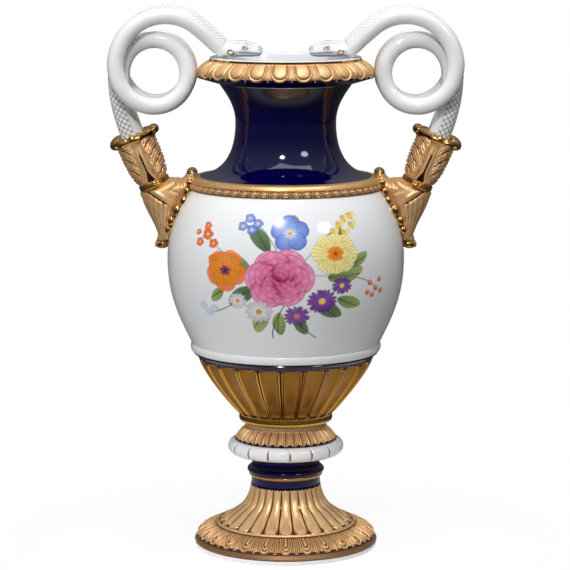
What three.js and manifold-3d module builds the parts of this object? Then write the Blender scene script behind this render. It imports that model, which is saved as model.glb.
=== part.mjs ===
import * as THREE from 'three';
import { mergeVertices } from 'three/addons/utils/BufferGeometryUtils.js';
import Module from 'manifold-3d';

// A porcelain vase of classical shape with two handles, each of two snakes that rise from a gilt
// acanthus calyx, coil once and lay their heads over the lip. Millimetres, +Z up, front towards -Y,
// origin on the table under the middle of the foot.

const wasm = await Module();
wasm.setup();

// Clearances
const jointGap = 0.3;
const rodClearance = 0.8;

// Foot ring and base moulding
const footRingHeight = 3.5;
const footRingRadius = 81.5;
const footRingWidth = 11;
const baseHeight = 16.2;
const baseRadius = 82;
const baseEdgeHeight = 5.2;
const baseEdgeDraw = 2;
const baseTopRadius = 65;
const tongueCount = 50;
const tongueDepth = 1.6;

// Ribbed foot
const footHeight = 36.2;
const footRadius = 61.5;
const footTopRadius = 31.2;
const footWall = 5.5;
const footToe = 3;
const footRoof = 9;
const footNutRoom = 4;
const ribCount = 26;
const ribDepth = 1.8;

// Stem
const stemHeight = 26;
const stemBandRadius = 30.8;
const stemLineRadius = 32.4;
const stemTorusRadius = 34.2;
const stemBore = 14;

// White knop ring
const knopHeight = 13.4;
const knopRadius = 51.8;
const knopEdgeRadius = 46.5;
const knopSegments = 16;
const knopGroove = 0.9;

// Leaf collar
const leafHeight = 15;
const leafFootRadius = 45.5;
const leafTipRadius = 41;
const leafWaistRadius = 35.6;
const leafCount = 36;
const leafDepth = 0.9;

// Gasket between the foot and the body
const gasketHeight = 1;
const gasketRadius = 33;

// Fluted cup
const cupHeight = 63.4;
const cupSeatRadius = 36.6;
const cupFootRadius = 41;
const cupFootEdge = 4.6;
const cupTopRadius = 78.4;
const cupCoveRadius = 81.8;
const cupCoveHeight = 5;
const cupFloor = 14;
const fluteCount = 24;
const fluteDepth = 2.2;

// Belly
const bellyHeight = 144.7;
const bellyRollRadius = 84.4;
const bellyRollHeight = 7.4;
const bellyRadius = 104.8;
const bellyWidestHeight = 83;
const bellyTopRadius = 84.4;
const bellyWall = 5;
const bellySeatDraw = 4;
const bellyColumns = 36;

// Shoulder collar
const shoulderHeight = 10.7;
const shoulderRadius = 86;
const shoulderTopRadius = 79.2;
const shoulderBore = 64;
const beadRowHeight = 6;
const beadCount = 58;
const beadDepth = 1.2;

// Neck
const neckHeight = 80.7;
const neckFootRadius = 76;
const neckWaistRadius = 44.4;
const neckWaistHeight = 47;
const neckTopRadius = 58.4;
const neckWall = 5;
const neckColumns = 32;

// Lip with its egg moulding
const lipHeight = 23.5;
const lipRadius = 79;
const lipFlareHeight = 6.5;
const lipTopRadius = 66.8;
const lipEdgeHeight = 2;
const mouthRadius = 59.5;
const eggCount = 24;
const eggDepth = 1.7;

// Tie rod with its nuts, plates and pads
const rodRadius = 4;
const rodOverhang = 4;
const nutRadius = 7.5;
const nutHeight = 6.4;
const plateRadius = 20;
const plateHeight = 2.5;
const padRadius = 18;
const padHeight = 3;

// Snakes; depth is measured from the plane through both handles towards the front or the back
const ringRadius = 28.7;
const ringRise = 10.3;
const ringSeat = 1.4;
const bodyRadius = 7.35;
const tailHalfWidth = 9.8;
const tailHalfDepth = 8;
const tailSwell = 1.8;
const tailOutset = 3.4;
const ringStartDepth = 8.2;
const ringEndDepth = 24;
const archRadius = 43.6;
const archRise = 6.2;
const archInset = 9.8;
const archSlack = 0.6;
const headInset = 11.3;
const headDepth = 18;
const headLength = 35;
const headHeight = 12;
const headHalfWidth = 8.6;
const snoutHalfWidth = 3.6;
const snakeSides = 8;

// Calyx, waist band and bracket
const socketReach = 31.4;
const socketRise = 3.5;
const calyxTilt = THREE.MathUtils.degToRad(23.5);
const calyxHeight = 42;
const calyxWaistHalfWidth = 12.4;
const calyxHalfWidth = 16.2;
const calyxLip = 1.6;
const calyxDepthRatio = 1.4;
const calyxSlot = 12;
const calyxLobes = 8;
const lobeDepth = 1.1;
const slitHalfWidth = 1.8;
const slitDepth = 3;
const scrollReach = 14.6;
const scrollRadius = 5.6;
const scrollHalfWidth = 8.2;
const scrollHalfDepth = 14;
const scrollDroop = THREE.MathUtils.degToRad(25);
const bandHalfHeight = 2.2;
const bandRadius = 13.8;
const bracketDrop = 54;
const tipHalfWidth = 4;
const tipHalfDepth = 6;
const tipReach = 6.2;
const tipCurl = 4;
const leafRipple = 0.07;
const armHalfHeight = 10.4;
const knobRadius = 4.8;
const knobHalfDepth = 12.5;

// Heights of the seats, worked out from the foot upwards
const baseBottom = footRingHeight + jointGap;
const footBottom = baseBottom + baseHeight + jointGap;
const stemBottom = footBottom + footHeight + jointGap;
const knopBottom = stemBottom + stemHeight + jointGap;
const leafBottom = knopBottom + knopHeight + jointGap;
const gasketBottom = leafBottom + leafHeight + jointGap;
const cupBottom = gasketBottom + gasketHeight + jointGap;
const bellyBottom = cupBottom + cupHeight + jointGap;
const shoulderBottom = bellyBottom + bellyHeight + jointGap;
const neckBottom = shoulderBottom + shoulderHeight + jointGap;
const lipBottom = neckBottom + neckHeight + jointGap;
const lipTop = lipBottom + lipHeight;
const rodHole = rodRadius + rodClearance;

// Finishes
const whiteGlaze = new THREE.MeshStandardMaterial({ color: 0xf0f2f5, roughness: 0.15, metalness: 0 });
const cobaltGlaze = new THREE.MeshStandardMaterial({ color: 0x0a0540, roughness: 0.1, metalness: 0 });
const matteGilding = new THREE.MeshStandardMaterial({ color: 0xdca86c, roughness: 0.5, metalness: 0.9 });
const brightGilding = new THREE.MeshStandardMaterial({ color: 0xc08a3c, roughness: 0.2, metalness: 1 });
const steel = new THREE.MeshStandardMaterial({ color: 0xa8a9ab, roughness: 0.4, metalness: 1 });
const rubber = new THREE.MeshStandardMaterial({ color: 0x2b2b2b, roughness: 0.8, metalness: 0 });

const point = (radius, height) => new THREE.Vector2(radius, height);

// The points of a cubic curve, without its first one
function bend(start, startPull, endPull, end, steps) {
  return new THREE.CubicBezierCurve(start, startPull, endPull, end).getPoints(steps).slice(1);
}

// A wall turned round the z axis, from the front on. The outside runs from bottom to top and the
// inside from top to bottom; share is how many outer columns one inner column stands for, and
// relief adds to the outer radius at each column.
function turned(outside, inside, columns, share = 1, relief = () => 0) {
  const positions = [];
  const faces = [];
  const spin = (corner, radius, column) => {
    const angle = (2 * Math.PI * column) / columns - Math.PI / 2;
    positions.push(radius * Math.cos(angle), radius * Math.sin(angle), corner.y);
  };
  const fine = (row, column) => row * columns + (column % columns);
  outside.forEach((corner, row) => {
    for (let column = 0; column < columns; column += 1) {
      spin(corner, corner.x + relief(column, row), column);
    }
  });
  const few = columns / share;
  const coarse = (row, column) => outside.length * columns + row * few + (column % few);
  inside.forEach((corner) => {
    for (let column = 0; column < few; column += 1) {
      spin(corner, corner.x, column * share);
    }
  });
  const band = (index, row, count) => {
    for (let column = 0; column < count; column += 1) {
      const here = index(row, column);
      const next = index(row, column + 1);
      faces.push(here, next, index(row + 1, column + 1));
      faces.push(here, index(row + 1, column + 1), index(row + 1, column));
    }
  };
  for (let row = 0; row < outside.length - 1; row += 1) {
    band(fine, row, columns);
  }
  for (let row = 0; row < inside.length - 1; row += 1) {
    band(coarse, row, few);
  }
  const top = outside.length - 1;
  const half = Math.floor(share / 2);
  for (let column = 0; column < few; column += 1) {
    const start = column * share;
    const middle = start + half;
    for (let step = start; step < start + share; step += 1) {
      const toward = step < middle ? column : column + 1;
      faces.push(fine(top, step), fine(top, step + 1), coarse(0, toward));
      faces.push(fine(0, step + 1), fine(0, step), coarse(inside.length - 1, toward));
    }
    faces.push(fine(top, middle), coarse(0, column + 1), coarse(0, column));
    const low = inside.length - 1;
    faces.push(fine(0, middle), coarse(low, column), coarse(low, column + 1));
  }
  return closedGeometry(positions, faces);
}

function closedGeometry(positions, faces) {
  const geometry = new THREE.BufferGeometry();
  geometry.setAttribute('position', new THREE.Float32BufferAttribute(positions, 3));
  geometry.setIndex(faces);
  return geometry;
}

// A body of elliptic sections strung along a line of stations. Each station has its centre, its
// half width in the plane of the handles and its half depth across it.
function lofted(stations, sides, ripple = () => 0) {
  const positions = [];
  const faces = [];
  const last = stations.length - 1;
  const depthAxis = new THREE.Vector3(0, 1, 0);
  stations.forEach((station, index) => {
    const before = stations[Math.max(index - 1, 0)].centre;
    const after = stations[Math.min(index + 1, last)].centre;
    const along = new THREE.Vector3().subVectors(after, before).normalize();
    const across = new THREE.Vector3().crossVectors(depthAxis, along).normalize();
    const depth = new THREE.Vector3().crossVectors(along, across);
    for (let side = 0; side < sides; side += 1) {
      const angle = (2 * Math.PI * (side + 0.5)) / sides;
      const swell = 1 + ripple(side, index);
      const spot = station.centre.clone();
      spot.addScaledVector(across, station.halfWidth * swell * Math.cos(angle));
      spot.addScaledVector(depth, station.halfDepth * swell * Math.sin(angle));
      positions.push(spot.x, spot.y, spot.z);
    }
  });
  for (let index = 0; index < last; index += 1) {
    for (let side = 0; side < sides; side += 1) {
      const next = (side + 1) % sides;
      const here = index * sides;
      const there = here + sides;
      faces.push(here + side, here + next, there + next);
      faces.push(here + side, there + next, there + side);
    }
  }
  const startCentre = positions.length / 3;
  positions.push(...stations[0].centre.toArray(), ...stations[last].centre.toArray());
  for (let side = 0; side < sides; side += 1) {
    const next = (side + 1) % sides;
    faces.push(startCentre, next, side);
    faces.push(startCentre + 1, last * sides + side, last * sides + next);
  }
  return closedGeometry(positions, faces);
}

function solidOf(geometry) {
  const bare = geometry.clone();
  bare.deleteAttribute('normal');
  bare.deleteAttribute('uv');
  const merged = mergeVertices(bare);
  const vertProperties = new Float32Array(merged.attributes.position.array);
  const triVerts = new Uint32Array(merged.index.array);
  return new wasm.Manifold(new wasm.Mesh({ numProp: 3, vertProperties, triVerts }));
}

function geometryOf(solid) {
  const mesh = solid.getMesh();
  return closedGeometry(Array.from(mesh.vertProperties), Array.from(mesh.triVerts));
}

// The mirror image across the plane square to x or y, with its faces turned out again
function mirrored(geometry, axis) {
  const image = geometry.clone();
  const scale = new THREE.Vector3(1, 1, 1).setComponent(axis === 'x' ? 0 : 1, -1);
  image.scale(scale.x, scale.y, scale.z);
  const order = Array.from(image.index.array);
  for (let corner = 0; corner < order.length; corner += 3) {
    [order[corner], order[corner + 1]] = [order[corner + 1], order[corner]];
  }
  image.setIndex(order);
  return image;
}

const vase = new THREE.Group();

function place(name, geometry, material, height = 0) {
  const mesh = new THREE.Mesh(geometry, material);
  mesh.name = name;
  mesh.position.z = height;
  vase.add(mesh);
}

// Foot ring: the unglazed white ring that the vase stands on
function footRing() {
  const inner = footRingRadius - footRingWidth;
  const edge = footRingHeight / 4;
  const outside = [
    point(footRingRadius - edge, 0),
    point(footRingRadius, edge),
    point(footRingRadius, footRingHeight),
  ];
  return turned(outside, [point(inner, footRingHeight), point(inner, 0)], 40, 2);
}

// Base moulding: a plain gilt edge under a quarter round of tongues
function baseMoulding() {
  const edgeTop = baseRadius - baseEdgeDraw;
  const round = bend(
    point(edgeTop, baseEdgeHeight),
    point(edgeTop, baseHeight * 0.6),
    point(baseTopRadius + 8, baseHeight * 0.86),
    point(baseTopRadius, baseHeight),
    3,
  );
  const outside = [point(baseRadius, 0), point(edgeTop, baseEdgeHeight), ...round];
  const inside = [
    point(footRadius - footWall, baseHeight),
    point(footRadius - footWall, baseHeight / 2),
    point(footRingRadius - footRingWidth, 0),
  ];
  const relief = (column, row) => (column % 2 === 1 && row >= 2 && row <= 3 ? -tongueDepth : 0);
  return turned(outside, inside, tongueCount * 2, 4, relief);
}

// Ribbed foot: a trumpet of rounded ribs, hollow underneath, with a roof that the tie rod passes
function ribbedFoot() {
  const flare = bend(
    point(footRadius, footToe),
    point(footRadius * 0.72, footHeight / 3),
    point(footTopRadius + 1.8, footHeight / 2),
    point(footTopRadius, footHeight),
    4,
  );
  const roof = footHeight - footRoof;
  const slope = flare.slice(0, 2).reverse();
  const outside = [point(footRadius, 0), point(footRadius, footToe), ...flare];
  const inside = [
    point(rodHole, footHeight),
    point(rodHole, roof),
    point(plateRadius + footNutRoom, roof),
    ...slope.map((spot) => point(spot.x - footWall, spot.y - footWall / 2)),
    point(footRadius - footWall, 0),
  ];
  const relief = (column, row) => {
    const fading = 1 - (row - 1) / (2 * flare.length);
    return row >= 1 && column % 3 === 0 ? -ribDepth * fading : 0;
  };
  return turned(outside, inside, ribCount * 3, 3, relief);
}

// Stem: a blue band, a thin gilt line, a blue torus and a cove under the knop
function stem() {
  const outside = [
    point(stemBandRadius, 0),
    point(stemBandRadius, stemHeight * 0.22),
    point(stemLineRadius, stemHeight * 0.28),
    point(stemTorusRadius, stemHeight * 0.37),
    point(stemTorusRadius, stemHeight * 0.48),
    point(stemBandRadius, stemHeight * 0.63),
    point(stemBandRadius, stemHeight),
  ];
  return turned(outside, [point(stemBore, stemHeight), point(stemBore, 0)], 24, 2);
}

// Knop ring: a fat white half round, divided by fine gilt lines
function knopRing() {
  const outside = [
    point(knopEdgeRadius - 3, 0),
    point(knopEdgeRadius + 2, knopHeight * 0.1),
    point(knopRadius, knopHeight * 0.34),
    point(knopRadius, knopHeight * 0.66),
    point(knopEdgeRadius + 2, knopHeight * 0.9),
    point(knopEdgeRadius - 3, knopHeight),
  ];
  const relief = (column, row) => (column % 3 === 1 && row >= 1 && row <= 4 ? -knopGroove : 0);
  const inside = [point(stemBore, knopHeight), point(stemBore, 0)];
  return turned(outside, inside, knopSegments * 3, 3, relief);
}

// Leaf collar: a cone of small upright leaves under a plain waist
function leafCollar() {
  const outside = [
    point(leafFootRadius, 0),
    point(leafFootRadius - 1.9, leafHeight * 0.2),
    point(leafTipRadius, leafHeight * 0.45),
    point(leafWaistRadius, leafHeight * 0.79),
    point(leafWaistRadius, leafHeight),
  ];
  const relief = (column, row) => (column % 2 === 1 && row <= 1 ? -leafDepth : 0);
  return turned(outside, [point(stemBore, leafHeight), point(stemBore, 0)], leafCount * 2, 4, relief);
}

function flatRing(inner, outer, height) {
  return turned([point(outer, 0), point(outer, height)], [point(inner, height), point(inner, 0)], 12);
}

// A hexagon nut: every second of its twelve columns lies on the middle of a flat
function nut() {
  const bore = rodRadius + jointGap;
  const flat = nutRadius * (1 - Math.cos(Math.PI / 6));
  const outside = [point(nutRadius, 0), point(nutRadius, nutHeight)];
  return turned(outside, [point(bore, nutHeight), point(bore, 0)], 12, 1, (column) => -flat * (column % 2));
}

// Fluted cup: hollow flutes between narrow fillets, scalloped under a blue cove
function flutedCup() {
  const coveBottom = cupHeight - cupCoveHeight;
  const side = bend(
    point(cupFootRadius, cupFootEdge),
    point(cupFootRadius + 13.4, coveBottom * 0.325),
    point(cupTopRadius - 7.6, coveBottom * 0.67),
    point(cupTopRadius, coveBottom),
    4,
  );
  const outside = [
    point(cupSeatRadius, 0),
    point(cupFootRadius, cupFootEdge),
    ...side,
    point(cupCoveRadius, cupHeight),
  ];
  const wall = side.slice(1).reverse();
  const inside = [
    point(bellyRollRadius - bellyWall - bellySeatDraw, cupHeight),
    ...wall.slice(1).map((spot) => point(spot.x - bellyWall, spot.y)),
    point(cupFootRadius - 4, cupFloor),
    point(rodHole, cupFloor),
    point(rodHole, 0),
  ];
  const relief = (column, row) => (column % 3 !== 0 && row >= 2 && row <= 4 ? -fluteDepth : 0);
  return turned(outside, inside, fluteCount * 3, 3, relief);
}

// The outer side of the belly from its foot to its top, with a clearance added to its radius
function bellySide(clearance) {
  const roll = [
    point(bellyRollRadius - 2, 0),
    point(bellyRollRadius, bellyRollHeight * 0.3),
    point(bellyRollRadius, bellyRollHeight * 0.7),
    point(bellyRollRadius - 0.8, bellyRollHeight),
  ];
  const widest = point(bellyRadius, bellyWidestHeight);
  const rise = bend(
    roll[3],
    point(bellyRollRadius + 12, bellyWidestHeight * 0.4),
    point(bellyRadius, bellyWidestHeight * 0.62),
    widest,
    3,
  );
  const fall = bend(
    widest,
    point(bellyRadius, bellyWidestHeight + (bellyHeight - bellyWidestHeight) * 0.42),
    point(bellyTopRadius + 11, bellyHeight * 0.9),
    point(bellyTopRadius, bellyHeight),
    5,
  );
  return [...roll, ...rise, ...fall].map((spot) => point(spot.x + clearance, spot.y));
}

function belly() {
  const outside = bellySide(0);
  const wall = outside.slice(4, -1).filter((_, index) => index % 2 === 1);
  const inside = [
    point(bellyTopRadius - bellyWall - bellySeatDraw, bellyHeight),
    ...wall.reverse().map((spot) => point(spot.x - bellyWall, spot.y)),
    point(bellyRollRadius - bellyWall - 2, 0),
  ];
  return turned(outside, inside, bellyColumns, 2);
}

// The outer side of the shoulder collar, a bead row under a smooth slope
function shoulderSide(clearance) {
  return [
    point(shoulderRadius - 0.6 + clearance, 0),
    point(shoulderRadius + clearance, beadRowHeight / 2),
    point(shoulderRadius - 1 + clearance, beadRowHeight),
    point(shoulderTopRadius + clearance, shoulderHeight),
  ];
}

function shoulderCollar() {
  const inside = [
    point(shoulderBore, shoulderHeight),
    point(shoulderBore, shoulderHeight * 0.6),
    point(bellyTopRadius - bellyWall - bellySeatDraw, 0),
  ];
  const relief = (column, row) => (column % 2 === 1 && row === 1 ? -beadDepth : 0);
  return turned(shoulderSide(0), inside, beadCount * 2, 4, relief);
}

// Neck: a deep cove between the shoulder and the lip
function neckSide(clearance) {
  const waistSpot = point(neckWaistRadius, neckWaistHeight);
  const lower = bend(
    point(neckFootRadius, 0),
    point(neckFootRadius - 21, neckHeight * 0.04),
    point(neckWaistRadius, neckWaistHeight * 0.42),
    waistSpot,
    5,
  );
  const upper = bend(
    waistSpot,
    point(neckWaistRadius, neckWaistHeight + (neckHeight - neckWaistHeight) * 0.42),
    point(neckTopRadius - 7, neckHeight * 0.88),
    point(neckTopRadius, neckHeight),
    4,
  );
  return [point(neckFootRadius, 0), ...lower, ...upper].map((spot) => point(spot.x + clearance, spot.y));
}

function neck() {
  const outside = neckSide(0);
  const wall = outside.slice(3, -1).filter((_, index) => index % 2 === 0);
  const inside = [
    point(neckTopRadius - neckWall, neckHeight),
    ...wall.reverse().map((spot) => point(spot.x - neckWall, spot.y)),
    point(shoulderBore, 0),
  ];
  return turned(outside, inside, neckColumns, 2);
}

// Lip: a blue flare, the egg moulding and a plain white top that falls into the mouth
function lipSide(clearance) {
  const eggs = bend(
    point(lipRadius, lipFlareHeight),
    point(lipRadius + 0.5, lipFlareHeight + 8),
    point(lipTopRadius + 3, lipHeight - lipEdgeHeight - 4),
    point(lipTopRadius, lipHeight - lipEdgeHeight),
    3,
  );
  const outside = [
    point(neckTopRadius, 0),
    point(lipRadius, lipFlareHeight),
    ...eggs,
    point(lipTopRadius, lipHeight),
  ];
  return outside.map((spot) => point(spot.x + clearance, spot.y));
}

function lip() {
  const inside = [
    point(mouthRadius, lipHeight),
    point(mouthRadius - 1.5, lipHeight * 0.7),
    point(neckTopRadius - neckWall, 0),
  ];
  const relief = (column, row) => (row >= 1 && row <= 3 && column % 3 === 0 ? -eggDepth : 0);
  return turned(lipSide(0), inside, eggCount * 3, 3, relief);
}

// The turned solid that brackets and snakes seat against, with the joint gap round it
function seatSolid(side, height, bottom) {
  const columns = 40;
  const outset = 1 / Math.cos(Math.PI / columns);
  const profile = [
    point(0, -jointGap),
    point(side[0].x * outset, -jointGap),
    ...side.map((spot) => point(spot.x * outset, spot.y)),
    point(side[side.length - 1].x * outset, height + jointGap),
    point(0, height + jointGap),
  ];
  const geometry = new THREE.LatheGeometry(profile, columns);
  geometry.rotateX(Math.PI / 2);
  geometry.translate(0, 0, bottom);
  return solidOf(geometry);
}

// Calyx: its own axis leans out from the waist; x is the way out from the vase
const waist = new THREE.Vector3(bellyTopRadius + socketReach, 0, shoulderBottom + socketRise);
const calyxAxis = new THREE.Vector3(Math.sin(calyxTilt), 0, Math.cos(calyxTilt));
const mouth = waist.clone().addScaledVector(calyxAxis, calyxHeight);

// The centre line of the front snake on the right, with a half width and a half depth at each spot
const ringCentre = new THREE.Vector3(
  lipRadius + jointGap + bodyRadius + ringRadius - ringSeat,
  0,
  lipBottom + ringRise,
);
const archCentre = ringCentre.clone().add(new THREE.Vector3(-archInset, 0, archRise));

function circleSpot(centre, radius, degrees, depth) {
  const angle = THREE.MathUtils.degToRad(degrees);
  return new THREE.Vector3(
    centre.x + radius * Math.cos(angle),
    -depth,
    centre.z + radius * Math.sin(angle),
  );
}

// Spots along a cubic curve in the plane of the handles, at depths that change evenly
function bentSpots(start, startPull, endPull, end, steps) {
  const corners = [start, startPull, endPull, end].map((spot) => point(spot.x, spot.z));
  return bend(...corners, steps).map((spot, index) => {
    const depth = THREE.MathUtils.lerp(start.y, end.y, (index + 1) / steps);
    return new THREE.Vector3(spot.x, depth, spot.y);
  });
}

function snakeStations() {
  const stations = [];
  const add = (centre, halfWidth, halfDepth) => stations.push({ centre, halfWidth, halfDepth });
  const opening = mouth.clone();
  opening.y = -tailHalfDepth - jointGap;
  const root = opening.clone().addScaledVector(calyxAxis, -calyxSlot);
  add(root, tailHalfWidth, tailHalfDepth);
  add(opening, tailHalfWidth, tailHalfDepth);
  const ringSide = circleSpot(ringCentre, ringRadius + tailOutset, 0, ringStartDepth);
  const tailPull = opening.clone().addScaledVector(calyxAxis, ringRadius * 0.7);
  const sidePull = ringSide.clone().add(new THREE.Vector3(tailOutset / 3, 0, -ringRadius * 0.7));
  const tail = bentSpots(opening, tailPull, sidePull, ringSide, 3).slice(0, -1);
  tail.forEach((spot, index) => {
    const share = (index + 1) / (tail.length + 1);
    add(spot, THREE.MathUtils.lerp(tailHalfWidth, bodyRadius + tailSwell, share), tailHalfDepth - share / 2);
  });
  const turns = 14;
  const ringEnd = 351;
  const unwinding = 250;
  const archStart = 371;
  const archGrowth = archRadius - archInset - ringRadius + archSlack;
  for (let turn = 0; turn <= turns; turn += 1) {
    const angle = (ringEnd * turn) / turns;
    const share = Math.min((1.05 * turn) / turns, 1);
    const depth = THREE.MathUtils.lerp(ringStartDepth, ringEndDepth, share);
    const winding = Math.max(1 - angle / 90, 0) ** 2;
    const leaving = Math.max((angle - unwinding) / (archStart - unwinding), 0) ** 2.5;
    const reach = ringRadius + tailOutset * winding + archGrowth * leaving;
    add(circleSpot(ringCentre, reach, angle, depth), bodyRadius + tailSwell * winding, bodyRadius);
  }
  const archEnd = 120;
  for (let angle = 0; angle <= archEnd; angle += archEnd / 5) {
    const depth = ringEndDepth - (2 * angle) / archEnd;
    add(circleSpot(archCentre, archRadius, angle, depth), bodyRadius, bodyRadius);
  }
  const crown = lipTop + jointGap + headHeight / 2;
  const lineTop = stations[stations.length - 1].centre;
  const nape = new THREE.Vector3(lipTopRadius - headInset, -headDepth, crown + 1.3);
  const topPull = lineTop.clone().add(new THREE.Vector3(-bodyRadius * 1.15, 0, -bodyRadius * 0.72));
  const napePull = nape.clone().add(new THREE.Vector3(bodyRadius * 0.8, 0, bodyRadius * 0.7));
  bentSpots(lineTop, topPull, napePull, nape, 3).forEach((spot) => add(spot, bodyRadius, bodyRadius));
  const headSpots = [
    [0.12, -0.2, 1.06, 0.88],
    [0.3, -0.6, 1, 1],
    [0.55, -0.8, 0.96, 0.92],
    [0.8, -2.2, 0.76, 0.66],
    [0.97, -3, 0.5, 0.42],
  ];
  headSpots.forEach(([share, drop, high, wide]) => {
    const centre = new THREE.Vector3(nape.x - headLength * share, -headDepth, nape.z + drop);
    const halfDepth = Math.max(headHalfWidth * wide, snoutHalfWidth);
    add(centre, (headHeight / 2) * high, halfDepth);
  });
  return stations;
}

function grown(stations, gap) {
  return stations.map(({ centre, halfWidth, halfDepth }) => (
    { centre, halfWidth: halfWidth + gap, halfDepth: halfDepth + gap }
  ));
}

const lipSeat = seatSolid(lipSide(jointGap), lipHeight, lipBottom);
const frontStations = snakeStations();
const frontSnakeSolid = solidOf(lofted(frontStations, snakeSides)).subtract(lipSeat);
const frontSnake = geometryOf(frontSnakeSolid);
const tailLength = 5;
const frontTailRoom = solidOf(lofted(grown(frontStations.slice(0, tailLength), jointGap), snakeSides));
const backTailRoom = frontTailRoom.mirror([0, 1, 0]);

// From the calyx's own frame, x away from the vase and z along its axis, to its place on the vase
function leaned(geometry, rise) {
  geometry.translate(0, 0, rise);
  geometry.rotateY(calyxTilt);
  geometry.translate(waist.x, waist.y, waist.z);
  return solidOf(geometry);
}

// Calyx: two clasping leaves, slit in front and behind and rolled over at the lip into scrolls,
// notched by the two tails
function calyx() {
  const outline = [
    point(0, 0),
    point(calyxWaistHalfWidth, 0),
    point(calyxWaistHalfWidth + 1.6, calyxHeight * 0.22),
    point(calyxHalfWidth - 1, calyxHeight * 0.6),
    point(calyxHalfWidth, calyxHeight * 0.86),
    point(calyxHalfWidth + calyxLip, calyxHeight * 0.94),
    point(calyxHalfWidth - 1, calyxHeight),
    point(0, calyxHeight),
  ];
  const columns = calyxLobes * 2;
  const positions = [];
  const faces = [];
  const rows = outline.length - 2;
  for (let column = 0; column < columns; column += 1) {
    const angle = (2 * Math.PI * column) / columns;
    const next = ((column + 1) % columns) * rows;
    const here = column * rows;
    for (let row = 0; row < rows; row += 1) {
      const corner = outline[row + 1];
      const scallop = column % 2 === 1 && row >= 1 && row <= 4 ? lobeDepth : 0;
      const radius = corner.x - scallop;
      positions.push(radius * Math.cos(angle), radius * calyxDepthRatio * Math.sin(angle), corner.y);
      if (row < rows - 1) {
        faces.push(here + row, next + row, next + row + 1);
        faces.push(here + row, next + row + 1, here + row + 1);
      }
    }
  }
  const bottomCentre = positions.length / 3;
  positions.push(0, 0, outline[0].y, 0, 0, outline[rows + 1].y);
  for (let column = 0; column < columns; column += 1) {
    const next = ((column + 1) % columns) * rows;
    const here = column * rows;
    faces.push(bottomCentre, next, here);
    faces.push(bottomCentre + 1, here + rows - 1, next + rows - 1);
  }
  const seat = bandHalfHeight + jointGap;
  let body = leaned(closedGeometry(positions, faces), seat);
  for (const side of [-1, 1]) {
    const scroll = new THREE.SphereGeometry(1, 8, 5);
    scroll.scale(scrollHalfWidth, scrollHalfDepth, scrollRadius);
    scroll.rotateY(side * scrollDroop);
    scroll.translate(side * scrollReach, 0, calyxHeight + scrollRadius * 0.2);
    body = body.add(leaned(scroll, seat));
    const slit = new THREE.ConeGeometry(slitHalfWidth, calyxHeight * 0.75, 4);
    slit.rotateX(Math.PI / 2);
    slit.translate(0, side * (calyxWaistHalfWidth * calyxDepthRatio + slitDepth / 2), calyxHeight * 0.4);
    body = body.subtract(leaned(slit, seat));
  }
  return geometryOf(body.subtract(frontTailRoom).subtract(backTailRoom));
}

// Waist band: a plain bright ring that ties the calyx to the bracket
function waistBand() {
  const profile = [
    point(0, -bandHalfHeight),
    point(bandRadius - 1, -bandHalfHeight),
    point(bandRadius, -bandHalfHeight * 0.4),
    point(bandRadius, bandHalfHeight * 0.4),
    point(bandRadius - 1, bandHalfHeight),
    point(0, bandHalfHeight),
  ];
  const geometry = new THREE.LatheGeometry(profile, 16);
  geometry.rotateX(Math.PI / 2);
  geometry.scale(1, calyxDepthRatio, 1);
  geometry.rotateY(calyxTilt);
  geometry.translate(waist.x, waist.y, waist.z);
  return geometry;
}

// Bracket: acanthus leaves that hug the belly down to a curled tip, and an arm over the shoulder
const bellySeat = seatSolid(bellySide(jointGap), bellyHeight, bellyBottom);
const shoulderSeat = seatSolid(shoulderSide(jointGap), shoulderHeight, shoulderBottom);
const neckSeat = seatSolid(neckSide(jointGap), neckHeight, neckBottom);

function bellyRadiusAt(height) {
  const side = bellySide(0);
  const level = THREE.MathUtils.clamp(height - bellyBottom, 0, bellyHeight);
  const upper = Math.max(side.findIndex((spot) => spot.y >= level), 1);
  const low = side[upper - 1];
  const high = side[upper];
  return THREE.MathUtils.mapLinear(level, low.y, high.y, low.x, high.x);
}

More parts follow.
